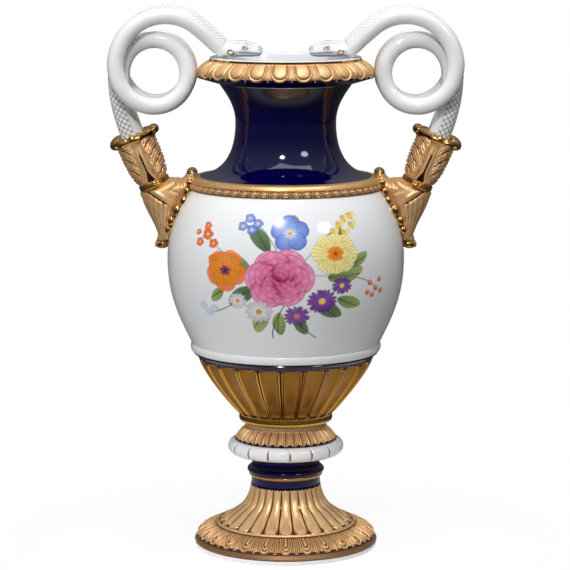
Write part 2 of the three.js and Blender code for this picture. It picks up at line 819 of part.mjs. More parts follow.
function bracket() {
  const root = waist.clone().addScaledVector(calyxAxis, -bandHalfHeight - jointGap);
  const rootDepth = calyxWaistHalfWidth * calyxDepthRatio;
  const stations = [{ centre: root, halfWidth: calyxWaistHalfWidth, halfDepth: rootDepth }];
  const contour = new THREE.CubicBezierCurve(
    point(root.x + calyxWaistHalfWidth + 1, root.z - bracketDrop * 0.14),
    point(root.x + calyxWaistHalfWidth - 3.5, root.z - bracketDrop * 0.4),
    point(bellyRadius + tipReach + 4, root.z - bracketDrop * 0.56),
    point(bellyRadius + tipReach + 2, root.z - bracketDrop * 0.8),
  );
  const leafDepths = [rootDepth + 1.5, rootDepth + 1, rootDepth - 1, rootDepth - 4, rootDepth - 7];
  contour.getPoints(leafDepths.length - 1).forEach((edge, index) => {
    const inner = bellyRadiusAt(edge.y) - bellyWall / 2;
    const centre = new THREE.Vector3((edge.x + inner) / 2, 0, edge.y);
    stations.push({ centre, halfWidth: (edge.x - inner) / 2, halfDepth: leafDepths[index] });
  });
  const tip = new THREE.Vector3(bellyRadius + tipReach - 1, 0, root.z - bracketDrop + tipCurl);
  stations.push({ centre: tip, halfWidth: tipHalfWidth + 2, halfDepth: tipHalfDepth + 1.5 });
  const end = tip.clone().add(new THREE.Vector3(2, 0, -tipCurl));
  stations.push({ centre: end, halfWidth: tipHalfWidth, halfDepth: tipHalfDepth });
  const ripple = (side, index) => (index > 0 && side % 2 === 1 ? -leafRipple : 0);
  const leaves = solidOf(lofted(stations, 14, ripple));
  const armLevel = waist.z - armHalfHeight + calyxWaistHalfWidth / 2;
  const knob = new THREE.Vector3(shoulderRadius - 3.5, 0, neckBottom + 1.6);
  const armSpots = [
    [waist.x - 4, armLevel, armHalfHeight, rootDepth - 1],
    [shoulderRadius + 14, armLevel - 0.5, armHalfHeight, rootDepth - 1],
    [shoulderRadius + 4, armLevel + 1.5, armHalfHeight - 1.6, rootDepth - 2],
    [shoulderRadius - 1, knob.z - 6.5, knobRadius + 1.6, knobHalfDepth + 1],
    [knob.x, knob.z, knobRadius, knobHalfDepth],
    [knob.x + 0.5, knob.z + knobRadius * 0.8, knobRadius * 0.6, knobHalfDepth - 2],
  ];
  const armStations = armSpots.map(([reach, height, halfWidth, halfDepth]) => (
    { centre: new THREE.Vector3(reach, 0, height), halfWidth, halfDepth }
  ));
  const arm = solidOf(lofted(armStations, 12));
  const whole = leaves.add(arm).subtract(bellySeat).subtract(shoulderSeat).subtract(neckSeat);
  return geometryOf(whole.subtract(waistCutter()));
}

// Everything above the bracket's seat under the waist band
function waistCutter() {
  const side = 80;
  const geometry = new THREE.BoxGeometry(side, side, side);
  geometry.translate(0, 0, side / 2 - bandHalfHeight - jointGap);
  geometry.rotateY(calyxTilt);
  geometry.translate(waist.x, waist.y, waist.z);
  return solidOf(geometry);
}

// Body sections, from the table upwards
place('foot_ring', footRing(), whiteGlaze);
place('base_moulding', baseMoulding(), matteGilding, baseBottom);
place('ribbed_foot', ribbedFoot(), matteGilding, footBottom);
place('stem', stem(), cobaltGlaze, stemBottom);
place('knop_ring', knopRing(), whiteGlaze, knopBottom);
place('leaf_collar', leafCollar(), brightGilding, leafBottom);
place('joint_gasket', flatRing(stemBore, gasketRadius, gasketHeight), rubber, gasketBottom);
place('fluted_cup', flutedCup(), brightGilding, cupBottom);
place('belly', belly(), whiteGlaze, bellyBottom);
place('shoulder_collar', shoulderCollar(), matteGilding, shoulderBottom);
place('neck', neck(), cobaltGlaze, neckBottom);
place('rim_collar', lip(), matteGilding, lipBottom);

// Tie rod, from the cup floor down to the roof of the hollow foot
const topPadBottom = cupBottom + cupFloor + jointGap;
const topPlateBottom = topPadBottom + padHeight + jointGap;
const topNutBottom = topPlateBottom + plateHeight + jointGap;
const bottomPadBottom = footBottom + footHeight - footRoof - jointGap - padHeight;
const bottomPlateBottom = bottomPadBottom - jointGap - plateHeight;
const bottomNutBottom = bottomPlateBottom - jointGap - nutHeight;
const rodBottom = bottomNutBottom - rodOverhang;
const rodTop = topNutBottom + nutHeight + rodOverhang;
const rod = new THREE.CylinderGeometry(rodRadius, rodRadius, rodTop - rodBottom, 12);
rod.rotateX(Math.PI / 2);
place('tie_rod', rod, steel, (rodTop + rodBottom) / 2);
place('top_pad', flatRing(rodHole, padRadius, padHeight), rubber, topPadBottom);
place('top_plate', flatRing(rodHole, plateRadius, plateHeight), steel, topPlateBottom);
place('top_nut', nut(), steel, topNutBottom);
place('bottom_pad', flatRing(rodHole, padRadius, padHeight), rubber, bottomPadBottom);
place('bottom_plate', flatRing(rodHole, plateRadius, plateHeight), steel, bottomPlateBottom);
place('bottom_nut', nut(), steel, bottomNutBottom);

// Handles, the left one a mirror image of the right one
const handleForms = { calyx: calyx(), waist_band: waistBand(), bracket: bracket() };
const handleFinish = { calyx: matteGilding, waist_band: brightGilding, bracket: matteGilding };
for (const [name, form] of Object.entries(handleForms)) {
  place(`right_${name}`, form, handleFinish[name]);
  const plain = form.index ? form : mergeVertices(form);
  place(`left_${name}`, mirrored(plain, 'x'), handleFinish[name]);
}
const backSnake = mirrored(frontSnake, 'y');
place('right_front_snake', frontSnake, whiteGlaze);
place('right_back_snake', backSnake, whiteGlaze);
place('left_front_snake', mirrored(frontSnake, 'x'), whiteGlaze);
place('left_back_snake', mirrored(backSnake, 'x'), whiteGlaze);

export default vase;
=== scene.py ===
import math

import bpy
import numpy as np
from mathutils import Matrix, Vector


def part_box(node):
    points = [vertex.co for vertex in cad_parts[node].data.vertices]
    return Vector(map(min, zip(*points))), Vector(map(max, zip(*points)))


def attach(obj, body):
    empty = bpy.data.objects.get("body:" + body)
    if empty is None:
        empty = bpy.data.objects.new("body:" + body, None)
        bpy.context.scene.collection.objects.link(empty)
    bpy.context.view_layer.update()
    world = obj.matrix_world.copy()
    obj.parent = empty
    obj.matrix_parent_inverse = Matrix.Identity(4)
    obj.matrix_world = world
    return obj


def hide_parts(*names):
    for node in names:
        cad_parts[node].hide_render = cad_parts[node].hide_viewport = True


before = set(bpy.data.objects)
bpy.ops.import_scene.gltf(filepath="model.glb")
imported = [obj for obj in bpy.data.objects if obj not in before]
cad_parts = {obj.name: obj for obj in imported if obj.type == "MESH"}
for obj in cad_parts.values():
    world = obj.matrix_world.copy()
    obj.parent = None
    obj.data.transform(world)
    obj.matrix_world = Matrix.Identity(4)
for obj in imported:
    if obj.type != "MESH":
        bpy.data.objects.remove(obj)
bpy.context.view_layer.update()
scene = bpy.context.scene
mm = 0.001

# Camera and studio
# A long lens a little above the lip looks down at the vase. A small round lamp stands high in
# front, soft ones left, right and above, and the room is dim but for its ceiling. The camera
# alone sees a white backdrop.
camera = bpy.data.objects.new("camera", bpy.data.cameras.new("camera"))
scene.collection.objects.link(camera)
camera.location = (0, -2.192, 0.5743)
camera.rotation_euler = (math.radians(81.2), 0, 0)
camera.data.sensor_width = 36
camera.data.lens = 157.6
camera.data.shift_x = -0.0013
scene.camera = camera
scene.view_settings.view_transform = "Standard"


class Shade:
    """A value in a finish, the output of one of its nodes; sums with it add Math nodes."""

    def __init__(self, finish, socket):
        self.finish = finish
        self.socket = socket

    def worked(self, operation, *terms):
        """The outcome of one Math node."""
        return self.finish.node("ShaderNodeMath", {"operation": operation}, terms)

    def __add__(self, other):
        return self.worked("ADD", self, other)

    def __radd__(self, other):
        return self.worked("ADD", other, self)

    def __sub__(self, other):
        return self.worked("SUBTRACT", self, other)

    def __rsub__(self, other):
        return self.worked("SUBTRACT", other, self)

    def __mul__(self, other):
        return self.worked("MULTIPLY", self, other)

    def __rmul__(self, other):
        return self.worked("MULTIPLY", other, self)

    def __mod__(self, other):
        return self.worked("FLOORED_MODULO", self, other)

    def __abs__(self):
        return self.worked("ABSOLUTE", self)

    def ramp(self, low, high, start=0.0, end=1.0):
        """This value carried smoothly from low..high to start..end."""
        settings = {"interpolation_type": "SMOOTHSTEP"}
        return self.finish.node("ShaderNodeMapRange", settings, (self, low, high, start, end))


class Finish:
    """A material or the world, written node by node."""

    def __init__(self, owner):
        self.owner = owner
        owner.use_nodes = True
        self.tree = owner.node_tree
        self.tree.nodes.clear()

    def node(self, kind, settings=None, sockets=(), output=0):
        """Any node: its settings first, then the values or links of its sockets."""
        made = self.tree.nodes.new(kind)
        for name, value in (settings or {}).items():
            setattr(made, name, value)
        pairs = sockets.items() if isinstance(sockets, dict) else enumerate(sockets)
        for name, value in pairs:
            if isinstance(value, Shade):
                self.tree.links.new(value.socket, made.inputs[name])
            else:
                made.inputs[name].default_value = value
        return Shade(self, made.outputs[output])

    def mix(self, share, first, second):
        """Two colours mixed by a share from 0 to 1."""
        sockets = {0: share, 6: first, 7: second}
        return self.node("ShaderNodeMix", {"data_type": "RGBA"}, sockets, output=2)

    def read(self, name, output="Fac"):
        """What the mesh carries at its points under this name."""
        return self.node("ShaderNodeAttribute", {"attribute_name": name}, output=output)

    def speckle(self, size, detail=2.0):
        """Noise from 0 to 1 with grains about size metres wide."""
        place = self.node("ShaderNodeTexCoord", output="Object")
        sockets = {"Vector": place, "Scale": 1 / size, "Detail": detail}
        return self.node("ShaderNodeTexNoise", sockets=sockets)

    def bumps(self, height, depth, strength=1.0):
        """A normal that follows a height from 0 to 1 over a depth in metres."""
        sockets = {"Strength": strength, "Distance": depth, "Height": height}
        return self.node("ShaderNodeBump", sockets=sockets)

    def end(self, surface, kind="ShaderNodeOutputMaterial"):
        """Ends the nodes in a surface and hands the material or world back."""
        self.tree.links.new(surface.socket, self.tree.nodes.new(kind).inputs["Surface"])
        return self.owner

    def principled(self, **sockets):
        """Ends the material in a principled surface; an underscore stands for a space."""
        named = {name.replace("_", " "): value for name, value in sockets.items()}
        return self.end(self.node("ShaderNodeBsdfPrincipled", sockets=named))


def paint(red, green, blue):
    """A screen colour from 0 to 255 as the linear colour that shaders take."""
    levels = [level / 255 for level in (red, green, blue)]
    linear = [v / 12.92 if v <= 0.04045 else ((v + 0.055) / 1.055) ** 2.4 for v in levels]
    return (*linear, 1.0)


middle_of_vase = Vector((0, 0, 0.26))


def soft_lamp(name, place, size, power, shape="RECTANGLE", mirrored=True):
    """A lamp that faces the vase; what is polished shows it only if it is mirrored."""
    lamp = bpy.data.lights.new(name, "AREA")
    lamp.shape = shape
    lamp.size, lamp.size_y = size
    lamp.energy = power
    holder = bpy.data.objects.new(name, lamp)
    scene.collection.objects.link(holder)
    holder.location = place
    aim = middle_of_vase - Vector(place)
    holder.rotation_euler = aim.to_track_quat("-Z", "Y").to_euler()
    holder.visible_glossy = mirrored


soft_lamp("key_lamp", (-0.25, -1.8, 1.85), (0.26, 0.26), 21, "DISK")
soft_lamp("left_lamp", (-1.9, -1.2, 0.45), (1.0, 0.8), 15, mirrored=False)
soft_lamp("right_lamp", (1.2, -1.3, 1.4), (0.5, 0.35), 5, "ELLIPSE")
soft_lamp("top_lamp", (0.15, -0.3, 1.9), (1.4, 1.0), 14)

room = Finish(bpy.data.worlds.new("room"))
scene.world = room.owner
camera_ray = room.node("ShaderNodeLightPath", output="Is Camera Ray")
facing = room.node("ShaderNodeTexCoord", output="Generated")
upward = room.node("ShaderNodeSeparateXYZ", sockets=(facing,), output=2)
glow = upward.ramp(0.0, 0.9) * 0.35 + 0.1
backdrop = room.node("ShaderNodeBackground", sockets=((1, 1, 1, 1), 1.0))
studio = room.node("ShaderNodeBackground", sockets=((1, 0.98, 0.95, 1), glow))
seen = room.node("ShaderNodeMixShader", sockets=(camera_ray, studio, backdrop))
room.end(seen, "ShaderNodeOutputWorld")

bpy.ops.mesh.primitive_circle_add(vertices=128, radius=2.6, fill_type="NGON", location=(0, 0, 0))
floor = bpy.context.object
floor.name = "floor"
paper = Finish(bpy.data.materials.new("floor_paper"))
spot = paper.node("ShaderNodeTexCoord", output="Object")
reach = paper.node("ShaderNodeVectorMath", {"operation": "LENGTH"}, (spot,), output="Value")
camera_ray = paper.node("ShaderNodeLightPath", output="Is Camera Ray")
tone = paper.mix(reach.ramp(0.16, 0.42), paint(246, 246, 246), paint(70, 70, 70))
shaded = paper.node("ShaderNodeBsdfDiffuse", sockets=(tone, 1.0))
lit = paper.node("ShaderNodeEmission", sockets=((1, 1, 1, 1), 1.0))
share = (0.86 + reach.ramp(0.09, 0.3) * 0.14) * camera_ray
seen = paper.node("ShaderNodeMixShader", sockets=(share, shaded, lit))
floor.data.materials.append(paper.end(seen))

# Stand ring
# The low white ring under the base on which the vase stands, turned in one with the foot in
# porcelain and glazed.


def glazed(name, first, second, gold):
    """A clear glaze over porcelain in two near tones, with gilt lines where the mesh says so."""
    coat = Finish(bpy.data.materials.new(name))
    gilt = coat.read("gilt").ramp(0.35, 0.65)
    tone = coat.mix(coat.speckle(40 * mm), first, second)
    tone = coat.mix(gilt, tone, gold)
    waves = coat.bumps(coat.speckle(9 * mm), 0.04 * mm, 0.25)
    rough = 0.08 + gilt * 0.2
    return coat.principled(Base_Color=tone, Metallic=gilt, Roughness=rough, Normal=waves)


white_glaze = glazed("white_glaze", paint(244, 245, 247), paint(240, 242, 245), paint(150, 104, 58))


def even(count):
    """That many turns round the axis, in radians from the front."""
    return 2 * math.pi * np.arange(count) / count


def curve(start, start_pull, end_pull, end, steps):
    """Points of a cubic curve."""
    t = np.linspace(0, 1, steps + 1)[:, None]
    corners = [np.array(spot, float) for spot in (start, start_pull, end_pull, end)]
    weights = ((1 - t) ** 3, 3 * t * (1 - t) ** 2, 3 * t ** 2 * (1 - t), t ** 3)
    return sum(weight * spot for weight, spot in zip(weights, corners))


def line(*spots, gap=0.8):
    """Points along straight runs, about gap apart."""
    runs = []
    for start, end in zip(spots, spots[1:]):
        start, end = np.array(start, float), np.array(end, float)
        steps = max(round(np.linalg.norm(end - start) / gap), 1)
        runs.append(start + (end - start) * np.linspace(0, 1, steps, endpoint=False)[:, None])
    return np.vstack(runs + [np.array([spots[-1]], float)])


def outline(bottom, *runs):
    """Runs of (radius, height above bottom) in millimetres, joined into one outline in metres."""
    joined = np.vstack(runs) + (0, bottom)
    apart = np.linalg.norm(np.diff(joined, axis=0), axis=1) > 0.01
    return joined[np.append(apart, True)] * mm


def bottom_of(node):
    """The lowest height of a solid node, in millimetres."""
    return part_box(node)[0].z / mm


def grid(points, closed=True):
    """Points of a grid and its four-sided faces; rows run up, and columns close round."""
    rows, columns = points.shape[:2]
    joined = np.arange(rows if closed else rows - 1)
    row, column = np.meshgrid(joined, np.arange(columns), indexing="ij")
    above, beside = (row + 1) % rows, (column + 1) % columns
    faces = np.stack([row * columns + column, row * columns + beside,
                      above * columns + beside, above * columns + column], axis=-1)
    return points.reshape(-1, 3), faces.reshape(-1, 4)


def fine_piece(name, points, faces, material, crease=40):
    """A smooth mesh of these points and faces, in metres."""
    mesh = bpy.data.meshes.new(name)
    mesh.from_pydata(points.tolist(), [], faces.tolist())
    mesh.polygons.foreach_set("use_smooth", [True] * len(mesh.polygons))
    mesh.set_sharp_from_angle(angle=math.radians(crease))
    mesh.materials.append(material)
    piece = bpy.data.objects.new(name, mesh)
    scene.collection.objects.link(piece)
    return piece


def turned(name, rows, turns, material, lift=0.0):
    """A solid turned from an outline that runs up the outside and down the inside; lift, in
    millimetres, raises each point square to the outline."""
    run = np.roll(rows, -1, axis=0) - np.roll(rows, 1, axis=0)
    square = np.stack([run[:, 1], -run[:, 0]], axis=1) / np.linalg.norm(run, axis=1, keepdims=True)
    lift = np.broadcast_to(np.asarray(lift) * mm, (len(rows), len(turns)))
    radius = rows[:, :1] + square[:, :1] * lift
    height = rows[:, 1:] + square[:, 1:] * lift
    points = np.stack([radius * np.sin(turns), -radius * np.cos(turns), height], axis=-1)
    return fine_piece(name, *grid(points), material)


def carry(piece, **fields):
    """Gives each point of a piece numbers from 0 to 1 that its material reads by name."""
    for name, values in fields.items():
        layer = piece.data.attributes.new(name, "FLOAT", "POINT")
        layer.data.foreach_set("value", np.ravel(values).astype(np.float32))


def fit(piece, slot, *nodes):
    """The piece stands for its solid nodes and is fixed to the one body that the vase is."""
    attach(piece, "root")
    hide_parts(*nodes)


ring_rows = outline(
    bottom_of("foot_ring"),
    curve((80.2, 0), (81.2, 0), (81.5, 0.4), (81.5, 1.4), 6),
    line((81.5, 1.4), (81.5, 3.5), (71, 3.5), (71, 1), gap=2),
    curve((71, 1), (71, 0.3), (71.4, 0), (72, 0), 4),
)
fit(turned("stand_ring", ring_rows, even(256), white_glaze), "white_glaze", "foot_ring")

# Base moulding
# A plain gold edge, painted dark as shade, under a quarter round of twenty-six eggs with double
# raised rims and pleats between, cast in porcelain and gilded matte, with cobalt dashes along the
# eggs' foot.

burnished_gold, gap_cobalt, bare_glaze = paint(214, 166, 92), paint(8, 4, 58), paint(242, 244, 247)


def gilded(name, dull, bright, deep, roughness, polish, metal, grain_depth=0.05, clouds=0.7):
    """Fired gold, polished where it stands raised or is burnished, with painted light in the bright
    tone on raised parts and painted shade in the deep tone in the hollows, cobalt in the gaps and
    white glaze where it is left bare. Polish is how much smoother the raised parts are, grain_depth
    is in millimetres, and clouds says how far the tone wanders."""
    gold = Finish(bpy.data.materials.new(name))
    proud = gold.read("proud")
    burnish = gold.read("burnish").ramp(0.3, 0.7)
    gap = gold.read("gap").ramp(0.35, 0.65)
    bare = gold.read("bare").ramp(0.35, 0.65)
    grain = gold.speckle(1.1 * mm, 3.0)
    cloud = gold.speckle(13 * mm)
    tone = gold.mix(cloud * clouds, dull, bright)
    # Painted highlight: raised parts lean to the bright tone.
    tone = gold.mix(proud.ramp(0.55, 1.0) * 0.75, tone, bright)
    tone = gold.mix(burnish * 0.85, tone, burnished_gold)
    # Painted shade: hollows lean to the deep tone.
    tone = gold.mix(proud.ramp(0.45, 0.0), tone, deep)
    tone = gold.mix(gap, tone, gap_cobalt)
    tone = gold.mix(bare, tone, bare_glaze)
    glaze = (gap + bare).ramp(0.0, 1.0)
    rough = roughness + grain * 0.1 - proud.ramp(0.6, 1.0) * polish
    rough = rough * (1 - burnish) + burnish * 0.13
    rough = rough * (1 - glaze) + glaze * 0.08
    leaf = gold.bumps(grain, grain_depth * mm, 0.6)
    shine = (metal + burnish * (1 - metal)) * (1 - glaze)
    return gold.principled(Base_Color=tone, Metallic=shine, Roughness=rough, Normal=leaf)


# Its deep tone is the painted shade of the hollows.
matte_gilding = gilded(
    "matte_gilding", paint(230, 174, 116), paint(255, 220, 168), paint(92, 52, 16),
    roughness=0.42, polish=0.18, metal=0.55)


def across(turns, count, shift=0.0):
    """Where each turn lies across its own copy of a pattern, from -1 to 1, and 0 at the front."""
    return ((turns * count / (2 * math.pi) + shift + 0.5) % 1.0) * 2 - 1


def way_up(rows, run, bottom):
    """How far up a run each row of an outline lies: 0 at the run's start and 1 at its end."""
    steps = np.linalg.norm(np.diff(rows, axis=0), axis=1)
    gone = np.concatenate([[0], np.cumsum(steps)])
    ends = [np.argmin(np.linalg.norm(rows - (run[k] + (0, bottom)) * mm, axis=1)) for k in (0, -1)]
    return ((gone - gone[ends[0]]) / (gone[ends[1]] - gone[ends[0]]))[:, None]


def ridge(distance, place, width):
    """A smooth ridge 1 high where the distance is at place."""
    return np.exp(-((distance - place) / width) ** 2)


def step(value, low, high):
    """0 below low and 1 above high, smooth between; the other way round if low is the higher."""
    t = np.clip((value - low) / (high - low), 0, 1)
    return t * t * (3 - 2 * t)


def tongue(side, way, half, toe, toe_run=None):
    """Distance from the middle of a tongue of that half width, 1 at its edge; its foot is drawn
    round below toe, over as much of the way as toe_run says."""
    return np.hypot(side / half, np.clip((toe - way) / (toe_run or toe), 0, None))


def pleated(side, width):
    """Pleats of that width between two copies of a pattern, from 0 to 1."""
    return 0.5 + 0.5 * np.cos((1 - side) * 2 * math.pi / width)


base_bottom = bottom_of("base_moulding")
egg_slope = curve((80.3, 5.6), (80.2, 10.0), (73.4, 13.6), (64.4, 15.6), 34)
base_rows = outline(
    base_bottom,
    line((80.9, 0), (81.8, 0.6), (82, 1.4), (80.4, 4.4)),
    line((80.4, 4.4), (79.9, 4.8), (79.5, 5.1), (80.3, 5.6), gap=0.4),
    egg_slope,
    line((64.4, 15.6), (61, 16.2), (56, 16.2), (56, 8.1), (70.5, 0), gap=3),
)
ribs = 26
turns = even(ribs * 34)
way = way_up(base_rows, egg_slope, base_bottom)
side = np.abs(across(turns, ribs))
reach = tongue(side, way, 0.62, 0.6)
rims = ridge(reach, 0.9, 0.1) + 0.8 * ridge(reach, 0.55, 0.11) + 0.9 * ridge(reach, 0, 0.22)
beside = step(reach, 1.02, 1.12)
pleats = pleated(side, 0.2) * beside
zone = step(way, -0.02, 0.01) * step(way, 1.12, 0.98)
carving = 1.6 * np.clip(rims, 0, 1) + 0.7 * pleats + 0.3 * beside - 1.6
lift = zone * carving * step(way, 1.6, 0.3)
edge = step(way, -0.06, -0.12) * np.ones_like(reach)
dashes = zone * (way < 0.09) * (reach > 1.06) * (side < 0.86)
fillet = ridge(way, 0.02, 0.025) * (1 - dashes)
base_moulding = turned("base_moulding_fine", base_rows, turns, matte_gilding, lift)
# Painted light on the rims, pleats and fillet; painted shade in the hollows and on the plain edge.
proud = np.clip(0.02 + 0.6 * rims + 0.06 * beside + 0.35 * pleats + fillet, 0, 1)
carry(base_moulding, proud=proud * zone * (1 - edge) + 0.14 * edge,
      burnish=fillet * (1 - edge), gap=dashes)
fit(base_moulding, "matte_gilding", "base_moulding")

# Ribbed foot
# A trumpet of twenty-six broad round ribs with raised rims at their toes, cast in porcelain and
# gilded matte with burnished grooves; cobalt triangles fill the gaps between the toes.


def swelling(distance, edge):
    """A round swelling, 1 high in its middle and 0 at its edge."""
    return np.sqrt(np.clip(1 - (distance / edge) ** 2, 0, 1))


foot_bottom = bottom_of("ribbed_foot")
rib_run = curve((61, 1.8), (44.3, 9.8), (33, 16.9), (31.3, 36.1), 84)
foot_rows = outline(
    foot_bottom,
    line((62.4, 0), (62.4, 0.5), (61.8, 1.2), (61, 1.8), gap=0.3),
    rib_run,
    line((31.3, 36.1), (5, 36.2), (5, 27.2), (24, 27.2), (56, 2), (56, 0), gap=4),
)
turns = even(ribs * 30)
way = way_up(foot_rows, rib_run, foot_bottom)
side = across(turns, ribs)
reach = tongue(side, way, 0.94, 0.18, 0.19)
body = swelling(reach, 0.94)
toe = step(way, 0.24, 0.1)
rim = ridge(reach, 0.95, 0.06) * toe
zone = step(way, 0.0, 0.01) * step(way, 0.99, 0.93)
scallop = (way > 0.972 - 0.016 * np.abs(np.sin(side * math.pi))) & (way < 1.01)
depth = 1.3 + 1.3 * step(way, 0.02, 0.25)
lift = zone * depth * (body + 0.5 * rim - 1) * step(way, 1.5, 0.3)
lift = np.where(scallop, -0.4, lift)
triangles = (reach > 1.04) & (way > 0.004) & (way < 0.2)
ribbed_foot = turned("ribbed_foot_fine", foot_rows, turns, matte_gilding, lift)
channel = step(reach, 0.84, 0.95) * step(way, 0.0, 0.03)
# Painted light on the ribs and their toe rims, painted shade in the grooves between them.
proud = np.clip(0.45 + 0.4 * body + 0.9 * rim - 0.25 * channel * (1 - toe), 0, 1)
burnish = np.clip(0.8 * channel + rim, 0, 1)
carry(ribbed_foot, proud=proud, burnish=burnish, gap=triangles | scallop)
fit(ribbed_foot, "matte_gilding", "ribbed_foot")

# Stem
# A cobalt band, a thin gilt line and a round cobalt torus under the knop, turned in porcelain
# and bored for the tie rod.
cobalt_glaze = glazed("cobalt_glaze", paint(3, 0, 66), paint(2, 0, 54), paint(206, 160, 104))
stem_bottom = bottom_of("stem")
stem_rows = outline(
    stem_bottom,
    line((30.8, 0), (30.8, 6), gap=1),
    curve((30.8, 6), (33.2, 6.3), (33.4, 9.3), (32, 9.5), 12),
    curve((32, 9.5), (35.3, 9.6), (35.3, 14.2), (31.6, 14.8), 18),
    curve((31.6, 14.8), (30.4, 15.6), (30.2, 18), (30.6, 26), 12),
    line((30.6, 26), (14, 26), (14, 0), gap=6),
)
turns = even(160)
stem = turned("stem_fine", stem_rows, turns, cobalt_glaze)
height = (stem_rows[:, 1:] / mm - stem_bottom) + 0 * turns
carry(stem, gilt=step(height, 5.8, 6.2) * step(height, 9.7, 9.4) * (stem_rows[:, :1] > 0.02))
fit(stem, "cobalt_glaze", "stem")

# Knop ring
# A fat half round of white porcelain, parted by sixteen fine gold lines that end in dots, with a
# gold line round its lower edge.
knop_bottom = bottom_of("knop_ring")
knop_rows = outline(
    knop_bottom,
    line((42.6, 0), (44.5, 0.1), gap=1),
    curve((44.5, 0.1), (54, 0.8), (53.6, 12.2), (46, 13.3), 44),
    line((46, 13.3), (43.6, 13.4), (14, 13.4), (14, 0), gap=6),
)
partings = 16
turns = even(partings * 40)
height = knop_rows[:, 1:] / mm - knop_bottom
side = np.abs(across(turns, partings, -0.2)) * math.pi * 50 / partings
parting = step(height, 1.4, 2.8) * step(height, 12.8, 11.8)
lift = -0.8 * ridge(side, 0, 1.1) * parting
knop_ring = turned("knop_ring_fine", knop_rows, turns, white_glaze, lift)
dots = step(np.hypot(side, height - 2.9), 1.0, 0.6)
thick = 0.95 - 0.04 * height
strokes = step(side - thick, 0.1, -0.25) * parting
rings = step(height, 1.4, 1.0) * (knop_rows[:, :1] > 0.04)
carry(knop_ring, gilt=np.clip(dots + strokes + rings, 0, 1))
fit(knop_ring, "white_glaze", "knop_ring")

# Leaf collar
# A cone of thirty-six small upright leaves over a thin cobalt line, cast in porcelain and
# gilded matte; the body is drawn down on its plain smooth waist.
# Its deep tone is the painted shade of the hollows.
bright_gilding = gilded(
    "bright_gilding", paint(128, 88, 34), paint(232, 178, 90), paint(34, 22, 10),
    roughness=0.2, polish=0.06, metal=1.0, grain_depth=0.02, clouds=0.15)
leaf_bottom = bottom_of("leaf_collar")
leaf_run = curve((45.2, 0.9), (44.2, 4.2), (40.6, 8.6), (35.9, 11.8), 30)
leaf_rows = outline(
    leaf_bottom,
    line((45.6, 0), (45.7, 0.5), (45.2, 0.9), gap=0.4),
    leaf_run,
    line((35.9, 11.8), (35.5, 12.4), (35.6, 15), gap=0.6),
    line((35.6, 15), (14, 15), (14, 0), gap=6),
)
leaves_round = 36
turns = even(leaves_round * 14)
way = way_up(leaf_rows, leaf_run, leaf_bottom)
side = np.abs(across(turns, leaves_round))
reach = tongue(side, way, 0.96, 0.18)
zone = step(way, -0.02, 0.02) * step(way, 1.02, 0.96)
blades = 0.9 * ridge(reach, 0.82, 0.12) + 0.75 * ridge(side, 0.34, 0.12) * step(reach, 0.95, 0.7)
lift = 1.2 * zone * (blades - 0.9)
leaf_collar = turned("leaf_collar_fine", leaf_rows, turns, matte_gilding, lift)
waist_line = (way > 1.02) * np.ones_like(reach)
# Painted light on the leaves' rims and ribs and on the waist, painted shade between the leaves.
proud = np.clip(0.08 + 0.8 * blades * zone + waist_line, 0, 1)
carry(leaf_collar, proud=proud, burnish=0.35 * waist_line,
      gap=(way < 0.16) * (way > -0.2) * (reach > 1.02))
fit(leaf_collar, "bright_gilding", "leaf_collar")

# Tie rod, nuts, plates, pads and gasket
# Foot and body are fired apart and drawn together by a steel rod through the stem, with a plate,
# a rubber pad and a hexagon nut at each end; a rubber gasket lies in the joint. The solids'
# own shapes are right, so they only get their materials.
steel = Finish(bpy.data.materials.new("brushed_steel"))
scratches = steel.speckle(0.8 * mm, 4.0)
tone = steel.mix(steel.speckle(12 * mm), paint(176, 176, 174), paint(140, 138, 134))
steel.principled(Base_Color=tone, Metallic=1.0, Roughness=0.28 + scratches * 0.2,
                 Normal=steel.bumps(scratches, 0.04 * mm, 0.5))
rubber = Finish(bpy.data.materials.new("pad_rubber"))
bloom = rubber.speckle(7 * mm, 3.0)
tone = rubber.mix(bloom, paint(34, 34, 34), paint(52, 51, 49))
rubber.principled(Base_Color=tone, Roughness=0.7 + bloom * 0.2,
                  Normal=rubber.bumps(rubber.speckle(0.6 * mm), 0.05 * mm, 0.6))
hardware = {"tie_rod": steel, "top_plate": steel, "top_nut": steel, "bottom_plate": steel,
            "bottom_nut": steel, "top_pad": rubber, "bottom_pad": rubber, "joint_gasket": rubber}
for name, stuff in hardware.items():
    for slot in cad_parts[name].material_slots:
        slot.material = stuff.owner

# Fluted cup
# A bowl of twenty-four hollow flutes between double fillets, burnished all over; the flutes end in
# round arches under a cobalt cove, and in round feet over a bead.
cup_bottom = bottom_of("fluted_cup")
flute_run = curve((42.4, 7.4), (54.2, 20.6), (70.8, 40), (78.2, 58), 96)
cup_rows = outline(
    cup_bottom,
    line((36.1, 0), (36.1, -1.3), (37.2, -1.2), gap=0.4),
    curve((37.2, -1.2), (40.2, -1.0), (42.8, 1.8), (41.4, 5.2), 14),
    line((41.4, 5.2), (41.5, 6.4), (42.4, 7.4), gap=0.4),
    flute_run,
    curve((78.2, 58), (78.0, 59.4), (79.6, 61.4), (82, 62.2), 10),
    line((82, 62.2), (82.2, 62.6), (81.8, 63.4), gap=0.3),
    line((81.8, 63.4), (75.4, 63.4), (60, 41), (37.5, 14), (5, 14), (5, 0), gap=6),
)
flutes = 24
turns = even(flutes * 28)
way = way_up(cup_rows, flute_run, cup_bottom)
side = np.abs(across(turns, flutes, -0.26))
ends = np.maximum(np.clip((0.09 - way) / 0.09, 0, None), np.clip((way - 0.93) / 0.07, 0, None))
reach = np.hypot(side / 0.8, ends)
hollow = swelling(reach, 1)
zone = step(way, -0.01, 0.01) * step(way, 1.01, 0.99)
